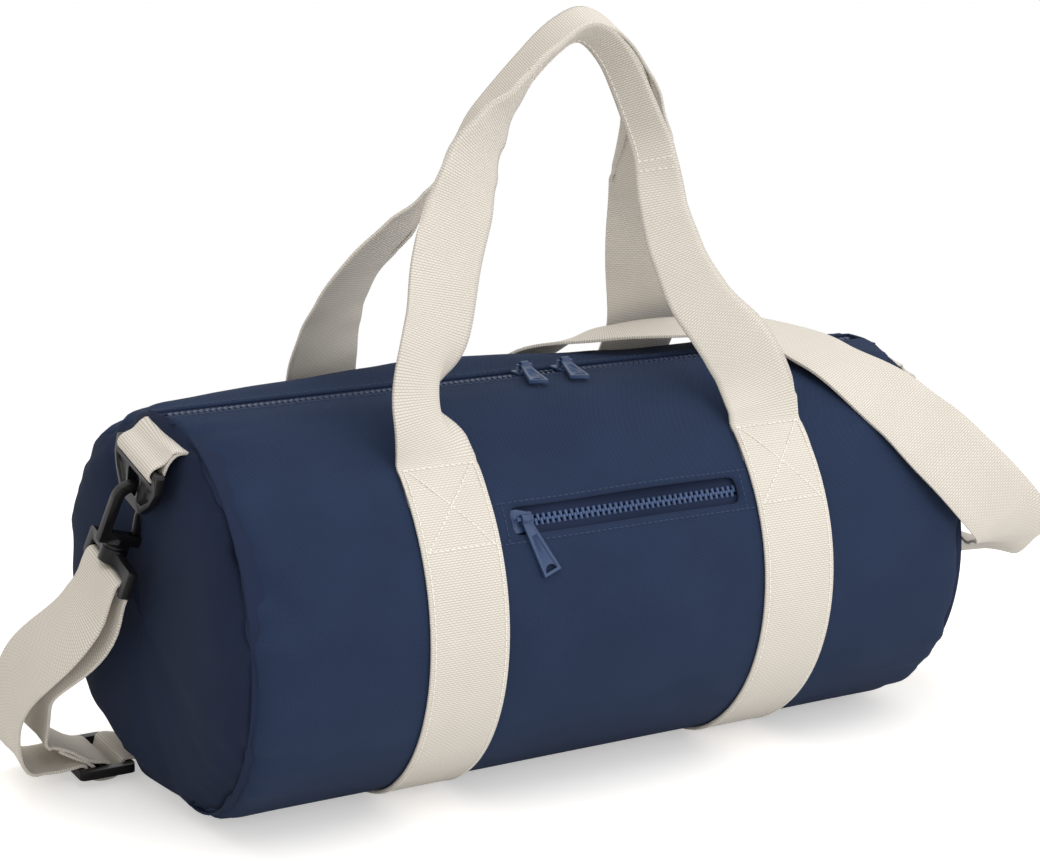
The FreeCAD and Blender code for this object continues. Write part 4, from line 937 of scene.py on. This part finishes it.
def strapStations():
    flat, up = Vector((0, 1, 0)), Vector((0, 0, 1))
    roll = chainWay(1, flat)
    lift = math.radians(adjuster["tailLift"])
    tailWay = Vector((-math.cos(lift), 0, math.sin(lift)))
    tailUp = Vector((math.sin(lift), 0, math.cos(lift)))
    tail = adjusterAt + tailWay * (adjuster["tailLength"] + layGap)
    bar = chainFrame(1) @ strapBar
    fall, fallOut = chainWay(1, strapFall), chainWay(1, (0.97, 0, 0.25))
    finish = bar + fall * (adjuster["tailLength"] + layGap)
    loopHeight = (chainFrame(-1) @ strapBar).z
    low, far, top = webThick * 1.5, radius, axisZ + radius + 8.0
    back = adjuster["back"]

    def left(x, y, z):
        return Vector((x - half, y, z))

    def right(x, y, z):
        # y and z in shares of the barrel's radius, from its axis
        return Vector((half + x, far * y, axisZ + far * z))

    stations = foldRoute(adjusterAt, tailWay, -tailUp, adjuster["tailLength"], flat, short=3.0)
    stations += [
        (tail + tailWay * 5, flat),
        (left(-47, back - 4, loopHeight * 0.3), flat + up * 0.25),
        (left(-48, back * 0.62, loopHeight * 0.55), flat + up * 0.45),
        (bight(194, 20), roll + up * 0.2), (bight(194, 8), roll),
    ]
    stations += [(bight(angle), roll) for angle in (194, 149, 104, 59, 14)]
    stations += [
        (bight(14, 8) + Vector((-0.6, 0, 0)), roll),
        (bight(14, 20) + Vector((-3, 0, 0)), roll + up * 0.2),
        (left(-61, back * 0.66, loopHeight * 0.5), flat + up * 0.45),
        (left(-61, back - 6, loopHeight * 0.22), flat + up * 0.25),
        (left(-52, back, loopHeight * 0.09), flat),
    ]
    stations += [(adjusterAt + Vector((x, 0, z)), flat) for x, z in adjusterWeave()]
    stations += [
        (left(10, back + 1, low + 2), flat),
        (left(42, back + 10, low), flat),
        (left(92, far + 2, low + 14), flat + Vector((-0.1, 0, -0.55))),
        (left(130, far + 15, 42), (0.35, 0.35, -0.85)),
        (left(164, far + 14, 80), (0.75, 0.05, -0.6)),
        (left(190, far + 7, 120), (0.88, 0, -0.45)),
        (Vector((10, far * 0.9, axisZ + far * 0.58)), (0.85, 0.2, -0.45)),
        (Vector((28, far * 0.6, axisZ + far * 0.9)), (0.8, 0.5, -0.2)),
        (Vector((58, far * 0.34, top - 2)), (0.6, 0.78, 0)),
        (Vector((95, far * 0.18, top + 1)), (0.4, 0.9, 0.05)),
        (Vector((half - 68, 0, top + 1)), (0.5, 0.85, 0.05)),
        (Vector((half - 50, -far * 0.38, top - 9)), (0.82, 0.53, 0.2)),
        (right(-28, -0.76, 0.75), (0.74, 0.37, 0.55)),
        (right(-15, -0.96, 0.57), (0.83, 0.0, 0.55)),
        (right(12, -1.09, 0.25), (0.82, -0.15, 0.5)),
        (right(22, -1.06, 0.14), (0.8, -0.35, 0.43)),
        (right(29, -0.94, 0.03), (0.8, -0.5, 0.2)),
        (right(33, -0.72, -0.05), (0.85, -0.4, -0.3)),
        (right(38, -0.45, -0.17), (0.97, -0.2, 0)),
        (right(42, -0.17, -0.23), (0.95, 0.2, -0.1)),
        (right(42, 0.06, -0.2), (0.6, 0.75, -0.3)),
        (finish + fall * 14, roll + Vector((0.2, 0, 0))),
        (finish + fall * 5, roll),
    ]
    return stations + foldRoute(bar, fall, fallOut, adjuster["tailLength"], roll, short=2.0)


# The strap keeps this far off the cloth, and a lift spreads over so many frames each way.
lying = {"room": 0.5, "spread": 5, "lanes": (-0.5, -0.25, 0, 0.25, 0.5), "from": 140, "inner": 60}


def clearOfCloth(frames):
    # lifts the strap wherever the swollen barrel comes up to it
    tree = BVHTree.FromObject(barrelPanel, bpy.context.evaluated_depsgraph_get())
    lifts = []
    for f in frames:
        need = 0.0
        for share in lying["lanes"]:
            p = f["at"] + f["across"] * (webWidth * share)
            out = Vector((0, p.y, p.z - axisZ))
            if abs(p.x) > half or out.length < lying["inner"]:
                continue
            way = out.normalized()
            hit = tree.ray_cast((Vector((p.x, 0, axisZ)) + way * lying["from"]) * mm, -way, 0.08)[0]
            if hit is not None:
                reach = math.hypot(hit.y / mm, hit.z / mm - axisZ)
                need = max(need, reach + webThick / 2 + lying["room"] - out.length)
        lifts.append(need)
    around = [slice(max(0, i - lying["spread"]), i + lying["spread"] + 1) for i in range(len(frames))]
    widest = [max(lifts[near]) for near in around]
    for f, near in zip(frames, around):
        lift = sum(widest[near]) / len(widest[near])
        f["at"] = f["at"] + Vector((0, f["at"].y, f["at"].z - axisZ)).normalized() * lift
    print("strap lifted by up to", round(max(lifts), 1), "mm")
    return measured(frames)


def makeStrap():
    frames = clearOfCloth(stripFrames(strapStations(), 4.0))
    strap = strip("shoulderStrap", frames, webWidth, webThick, lanes=7)
    declare(strap, ["shoulder_strap", "strap_sewn_end", "strap_end_right"])
    print("strap of", round(frames[-1]["run"]), "mm")


def makeTab(name, side, end):
    turn = Matrix.Rotation(-math.radians(chain["tabAngle"]), 3, "Y")
    away, lift = (chainWay(side, turn @ Vector(way)) for way in ((1, 0, 0), (0, 0, 1)))
    width = chainWay(side, (0, 1, 0))
    inward, down = chain["tabDive"]
    dive = Vector((-side * inward, 0, down))
    route = foldRoute(chainFrame(side).translation, away, lift, chain["tabLength"], width, short=2.0, dive=dive)
    frames = stripFrames(route, 1.6)
    tab = strip(name, frames, webWidth, webThick)
    declare(tab, [f"ring_tab_{end}"])
    return frames


makeStrap()
tabFrames = {-1: makeTab("ringTabLeft", -1, "left"), 1: makeTab("ringTabRight", 1, "right")}
print("strap and tabs made")

# Zips: x along the bag, y across the zip, z outward from the barrel's axis.
zips = {
    "pitch": 3.0, "head": 1.36, "reach": 0.65, "outer": 2.8, "thick": 2.4, "tapeThick": 0.8, "part": 1.7,
    "closed": -3.5, "full": 2.0, "ease": 0.26, "rootWide": 1.25, "rootThick": 0.72, "tipThick": 0.94, "lanes": 7,
}
mainZip = {
    "name": "main_zip", "tape": 16.0, "ends": 193.9, "past": (3.5, 1.5), "turn": 0.0,
    "sliders": [(-8.0, 1), (15.0, -1)],
}
pocketZip = {
    "name": "pocket_zip", "tape": 11.0, "ends": 67.0, "past": (0, 0), "turn": 90 - bag["pocketAngle"],
    "sliders": [(-56.2, -1)],
}


def zipFrame(spec):
    level = math.sqrt((radius - bag["cloth"]) ** 2 - spec["tape"] ** 2) - layGap - zips["tapeThick"] / 2
    turn = Matrix.Rotation(math.radians(spec["turn"]), 4, "X")
    return Matrix.Translation((0, 0, axisZ)) @ turn @ Matrix.Translation((0, 0, level))


def parting(x, sliders):
    # how far the two rows stand apart beside the sliders
    if len(sliders) == 2:
        inside = min(x - sliders[0][0], sliders[1][0] - x)
    else:
        inside = (x - sliders[0][0]) * sliders[0][1]
    return zips["part"] * max(0.0, min(1.0, (inside - zips["closed"]) / (zips["full"] - zips["closed"])))


def easeEdges(bm, offset):
    bmesh.ops.bevel(
        bm, geom=bm.edges, offset=offset, offset_type="OFFSET", segments=1, profile=0.5, affect="EDGES", material=-1
    )


def makeTeeth(spec, side, shift, node, name, material):
    # each tooth is a block whose root is wider and thinner than its tip, with its edges eased
    bm = bmesh.new()
    for i in range(int(2 * spec["ends"] / zips["pitch"]) - 1):
        x = -spec["ends"] + zips["pitch"] * (shift + i)
        off = parting(x, spec["sliders"])
        tip, root = off - zips["reach"], off + zips["outer"]
        size = Matrix.Diagonal((zips["head"], root - tip, zips["thick"], 1))
        made = bmesh.ops.create_cube(bm, size=1, matrix=Matrix.Translation((x, side * (tip + root) / 2, 0)) @ size)
        for vert in made["verts"]:
            if side * vert.co.y > off + 1:
                vert.co.x = x + (vert.co.x - x) * zips["rootWide"]
                vert.co.z *= zips["rootThick"]
            else:
                vert.co.z *= zips["tipThick"]
    easeEdges(bm, zips["ease"])
    bm.transform(zipFrame(spec))
    declare(newObject(name, bm, material), [node])


def makeTape(spec, side, node, name):
    marks = spaced([-spec["ends"] - spec["past"][0], spec["ends"] + spec["past"][1]], 1.5)
    zipPlace, lanes = zipFrame(spec), zips["lanes"]

    def place(i, j):
        x = marks[i]
        inner = zips["outer"] - 1.0 + parting(x, spec["sliders"])
        y = inner + (spec["tape"] - inner) * j / (lanes - 1)
        return zipPlace @ Vector((x, side * y, 0)), (y, x)

    bm = gridMesh(len(marks), lanes, place)
    bmesh.ops.recalc_face_normals(bm, faces=bm.faces)
    tape = newObject(name, bm, tapeCloth)
    addThickness(tape, zips["tapeThick"], 0)
    declare(tape, [node])


for spec, label, finish in ((mainZip, "main", toothPlastic), (pocketZip, "pocket", pocketTooth)):
    for side, end, shift in ((-1, "front", 0.25), (1, "rear", 0.75)):
        makeTeeth(spec, side, shift, f"{spec['name']}_teeth_{end}", f"{label}Teeth{end.title()}", finish)
        makeTape(spec, side, f"{spec['name']}_tape_{end}", f"{label}Tape{end.title()}")
print("zips made")

# Moulded fittings: the solid's own shape with its outward edges rounded off by this much.
fittings = {
    "ring_left": ("ringLeft", 0.7), "ring_right": ("ringRight", 0.7),
    "snap_hook_left": ("snapHookLeft", 0.9), "snap_hook_right": ("snapHookRight", 0.9),
    "hook_gate_left": ("hookGateLeft", 0.5), "hook_gate_right": ("hookGateRight", 0.5),
    "strap_loop_left": ("strapLoopLeft", 0.9), "strap_loop_right": ("strapLoopRight", 0.9),
    "strap_adjuster": ("strapAdjuster", 0.8),
    "main_slider_left": ("mainSliderLeft", 0.3), "main_slider_right": ("mainSliderRight", 0.3),
    "pocket_slider": ("pocketSlider", 0.3),
    "main_pull_left": ("mainPullLeft", 0.3), "main_pull_right": ("mainPullRight", 0.3),
    "pocket_pull": ("pocketPull", 0.3),
}
rounding = {"sharp": math.radians(35), "hookRoom": 0.1, "weld": 0.004, "flat": 0.02}


def bodyOf(node):
    for body, members in frame["record"]["behaviour"]["bodies"].items():
        if node in members:
            return body
    return "bag"


def makeFitting(node, name, ease, material):
    bm = bmesh.new()
    bm.from_mesh(frame["nodes"][node].data)
    bm.transform(Matrix.Scale(1 / mm, 4))
    bmesh.ops.remove_doubles(bm, verts=bm.verts, dist=rounding["weld"])
    bmesh.ops.dissolve_limit(
        bm, angle_limit=rounding["flat"], use_dissolve_boundaries=False, verts=bm.verts, edges=bm.edges
    )
    if node.startswith("snap_hook"):
        # the hook turns in the ring's eye with a hair of room
        bm.normal_update()
        for vert in bm.verts:
            vert.co -= vert.normal * rounding["hookRoom"]
    # only edges that stand out are rounded, so that no corner of an eye fills up
    weight = bm.edges.layers.float.new("bevel_weight_edge")
    for edge in bm.edges:
        if edge.is_manifold and edge.is_convex and edge.calc_face_angle(0.0) > rounding["sharp"]:
            edge[weight] = 1.0
    obj = newObject(name, bm, material)
    eased = obj.modifiers.new("rounding", "BEVEL")
    eased.width = ease * mm
    eased.segments = 3
    eased.limit_method = "WEIGHT"
    eased.harden_normals = True
    declare(obj, [node], bodyOf(node))


for node, (name, ease) in fittings.items():
    metal = "slider" in node or "pull" in node
    makeFitting(node, name, ease, sliderPaint if metal else blackPlastic)
print("fittings made")

binding = {"wide": 10.0, "thick": 1.2, "deeper": 2.2, "at": 189.2, "fromZip": 16.3}


def makeBinding(name, side, node):
    inward = -bag["cloth"] - layGap - binding["deeper"]
    edge = math.asin(binding["fromZip"] / (radius + inward))
    marks = spaced([math.pi / 2 + edge, 2.5 * math.pi - edge], 0.06)
    frames = ringFrames(marks, inward, side * binding["at"])
    tape = strip(name, frames, binding["wide"], binding["thick"], lanes=5, material=tapeCloth)
    declare(tape, [node])


makeBinding("seamBindingLeft", -1, "seam_binding_left")
makeBinding("seamBindingRight", 1, "seam_binding_right")

lining = {
    "past": 6.5, "depth": 9.0, "drop": 62.0, "rise": 13.5, "thick": 1.0, "cut": 127.0, "woven": 118.0, "edge": 9.0,
}


def makeLining():
    # the pocket bag hangs behind its zip, open towards the barrel
    rim = radius - bag["cloth"] - layGap - 0.6
    low = bag["pocketAngle"] - lining["drop"]
    high = bag["pocketAngle"] + math.degrees(lining["rise"] / rim)
    wide = pocketEnd + lining["past"]
    rows, cols = 40, 45

    def place(i, j):
        u, v = i / (rows - 1), j / (cols - 1)
        fromEdge = min(u, 1 - u) * 100, min(v, 1 - v) * 2 * wide
        depth = lining["depth"] * smooth(0, lining["edge"], fromEdge[0]) * smooth(0, lining["edge"], fromEdge[1])
        turn = math.radians(180 - low - (high - low) * u)
        reach = rim - depth
        x = (2 * v - 1) * wide
        return Vector((x, math.cos(turn) * reach, axisZ + math.sin(turn) * reach)), (x, u * lining["woven"])

    bm = gridMesh(rows, cols, place)
    bmesh.ops.recalc_face_normals(bm, faces=bm.faces)
    obj = newObject("pocketLining", bm, tapeCloth)
    addThickness(obj, lining["thick"], 0)
    declare(obj, ["pocket_lining"])


makeLining()
print("inside pieces made")

# Stitches: short rounded dashes laid on the surface they hold.
thread = {"length": 2.3, "pitch": 3.0, "wide": 0.62, "high": 0.5, "ease": 0.18}


def frameAt(frames, run):
    i = max(1, next((k for k, f in enumerate(frames) if f["run"] >= run), len(frames) - 1))
    a, b = frames[i - 1], frames[i]
    share = (run - a["run"]) / max(1e-6, b["run"] - a["run"])
    return (a[key].lerp(b[key], share) for key in ("at", "across", "normal"))


def dashes(line):
    # a line of points with normals becomes the middles and directions of its stitches
    out, carried = [], 0.0
    for (a, up), (b, _) in zip(line, line[1:]):
        span, way = (b - a).length, (b - a).normalized()
        while carried < span:
            out.append((a + way * carried, way, up))
            carried += thread["pitch"]
        carried -= span
    return out


def makeStitches(name, lines, material, body="bag"):
    bm = bmesh.new()
    size = Matrix.Diagonal((thread["length"], thread["wide"], thread["high"], 1))
    for line in lines:
        for at, way, up in dashes(line):
            side = up.cross(way).normalized()
            turn = Matrix((way, side, way.cross(side))).transposed().to_4x4()
            bmesh.ops.create_cube(bm, size=1, matrix=Matrix.Translation(at) @ turn @ size)
    easeEdges(bm, thread["ease"])
    obj = newObject(name, bm, material)
    if body:
        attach(obj, body)
    return obj


boxStitch = {"top": 1.2, "deep": 41.0, "edge": 16.6, "rise": 0.95, "selvedge": 17.8}


def onFace(run):
    return boxStitch["rise"]


def stripLine(frames, start, end, offA, offB, level=onFace, steps=14):
    # a line on a strip from one offset to another, above its face
    line = []
    for k in range(steps + 1):
        run = start + (end - start) * k / steps
        at, across, normal = frameAt(frames, run)
        line.append((at + across * (offA + (offB - offA) * k / steps) + normal * level(run), normal))
    return line


def bandStitches(frames):
    last, edge, top, deep = frames[-1]["run"], boxStitch["edge"], boxStitch["top"], boxStitch["deep"]

    def level(run):
        # the handle's foot lies over the top of the band
        near = min(run, last - run)
        return boxStitch["rise"] + 0.42 * smooth(17, 8, near) - 0.25 * bump(1.2, 1.6, near)

    # none under the bag, where the band lies on the floor
    low = [f["run"] for f in frames if f["at"].z < 3]
    lines = []
    for off in (-boxStitch["selvedge"], boxStitch["selvedge"]):
        for a, b in ((top, min(low)), (max(low), last - top)):
            lines.append(stripLine(frames, a, b, off, off, level, max(1, round((b - a) / 3))))
    for a, b in ((top, deep), (last - top, last - deep)):
        for start, end, off in ((a, a, edge), (b, b, edge), (a, b, edge), (a, b, -edge)):
            lines.append(stripLine(frames, start, end, -off, off, level))
    return lines


for side, label in ((-1, "Left"), (1, "Right")):
    makeStitches(f"bandStitches{label}", bandStitches(bandFrames[side]), creamThread)

# Rows across a tab, by their way from its first end and from its last.
tabStitch = {"edge": 17.5, "first": [8.0, 11.0], "last": [6.0, 9.0]}
for side, label in ((-1, "Left"), (1, "Right")):
    frames = tabFrames[side]
    rows = tabStitch["first"] + [frames[-1]["run"] - back for back in tabStitch["last"]]
    lines = [stripLine(frames, run, run, -tabStitch["edge"], tabStitch["edge"]) for run in rows]
    makeStitches(f"tabStitches{label}", lines, creamThread)

gripStitch = {"edge": 17.6, "tack": (2.5, 18.0), "apart": 1.5, "closed": 0.97, "rise": webThick / 2 + 0.1}


def onFold(frames, i, s, kept):
    # a place on a folded handle by its way across the tape
    f, ahead = frames[i], frames[i + 1]
    here = foldedPoint(f, s, kept)
    inner, outer = foldedPoint(f, s - 0.5, kept), foldedPoint(f, s + 0.5, kept)
    up = (outer - inner).cross(foldedPoint(ahead, s, kept) - here).normalized()
    return here + up * gripStitch["rise"], up


def foldedLine(frames, kept, start, end, s):
    count = max(1, round((end - start) / thread["pitch"]))
    runs = [start + (end - start) * k / count for k in range(count + 1)]
    return [onFold(frames, next(n for n, f in enumerate(frames) if f["run"] >= run), s, kept) for run in runs]


def barTacks(frames, kept, run):
    # two short rows across the folded tape where its grip ends, on both faces
    lines = []
    a, b = gripStitch["tack"]
    for shift in (-gripStitch["apart"], gripStitch["apart"]):
        i = min(range(len(frames)), key=lambda n: abs(frames[n]["run"] - run - shift))
        for face in (1, -1):
            lines.append([onFold(frames, i, face * (a + (b - a) * k / 8), kept) for k in range(9)])
    return lines


for label, frames, spec in (("rear", rearFrames, rearHandle), ("front", frontFrames, frontHandle)):
    closed = [f["run"] for f in frames if f["fold"] > gripStitch["closed"]]
    start, end, kept = min(closed), max(closed), spec["kept"]
    lines = [foldedLine(frames, kept, start, end, s) for s in (gripStitch["edge"], -gripStitch["edge"])]
    lines += barTacks(frames, kept, start) + barTacks(frames, kept, end)
    bendAtFoot(makeStitches(f"{label}GripStitches", lines, creamThread, body=None))

clothTree = BVHTree.FromObject(barrelPanel, bpy.context.evaluated_depsgraph_get())
clothStitch = {
    "rise": 0.12, "from": 14, "zipAway": 3.2, "zipEnd": 187, "upper": 34.4, "lower": 23.2, "pocketAway": 3.0,
    "bandAway": 0.6,
}


def onCloth(x, angle):
    # a place on the eased cloth, found from outside
    centre, out = barrelPoint(angle)
    centre.x = x
    hit, normal = clothTree.ray_cast((centre + out * clothStitch["from"]) * mm, -out, 0.03)[:2]
    if hit is None:
        return centre + out * clothStitch["rise"], out
    normal = -normal if normal.dot(out) < 0 else normal
    return hit / mm + normal * clothStitch["rise"], normal


def clothLine(x0, x1, angle0, angle1, steps=6):
    shares = [k / steps for k in range(steps + 1)]
    return [onCloth(x0 + (x1 - x0) * share, angle0 + (angle1 - angle0) * share) for share in shares]


zipLine = slotAngle + clothStitch["zipAway"] / radius
upper, lower = (math.pi - math.radians(clothStitch[key]) for key in ("upper", "lower"))
pocketSide, bandSide = pocketEnd + clothStitch["pocketAway"], bandEdge[0] - clothStitch["bandAway"]
longLines = [(clothStitch["zipEnd"], math.pi / 2 + zipLine), (clothStitch["zipEnd"], 2.5 * math.pi - zipLine)]
longLines += [(bandSide, upper), (bandSide, lower)]
lines = [clothLine(-x, x, angle, angle, round(2 * x / thread["pitch"])) for x, angle in longLines]
lines += [clothLine(x, x, upper, lower) for x in (-pocketSide, pocketSide)]
makeStitches("clothStitches", lines, navyThread)
print("stitches made")
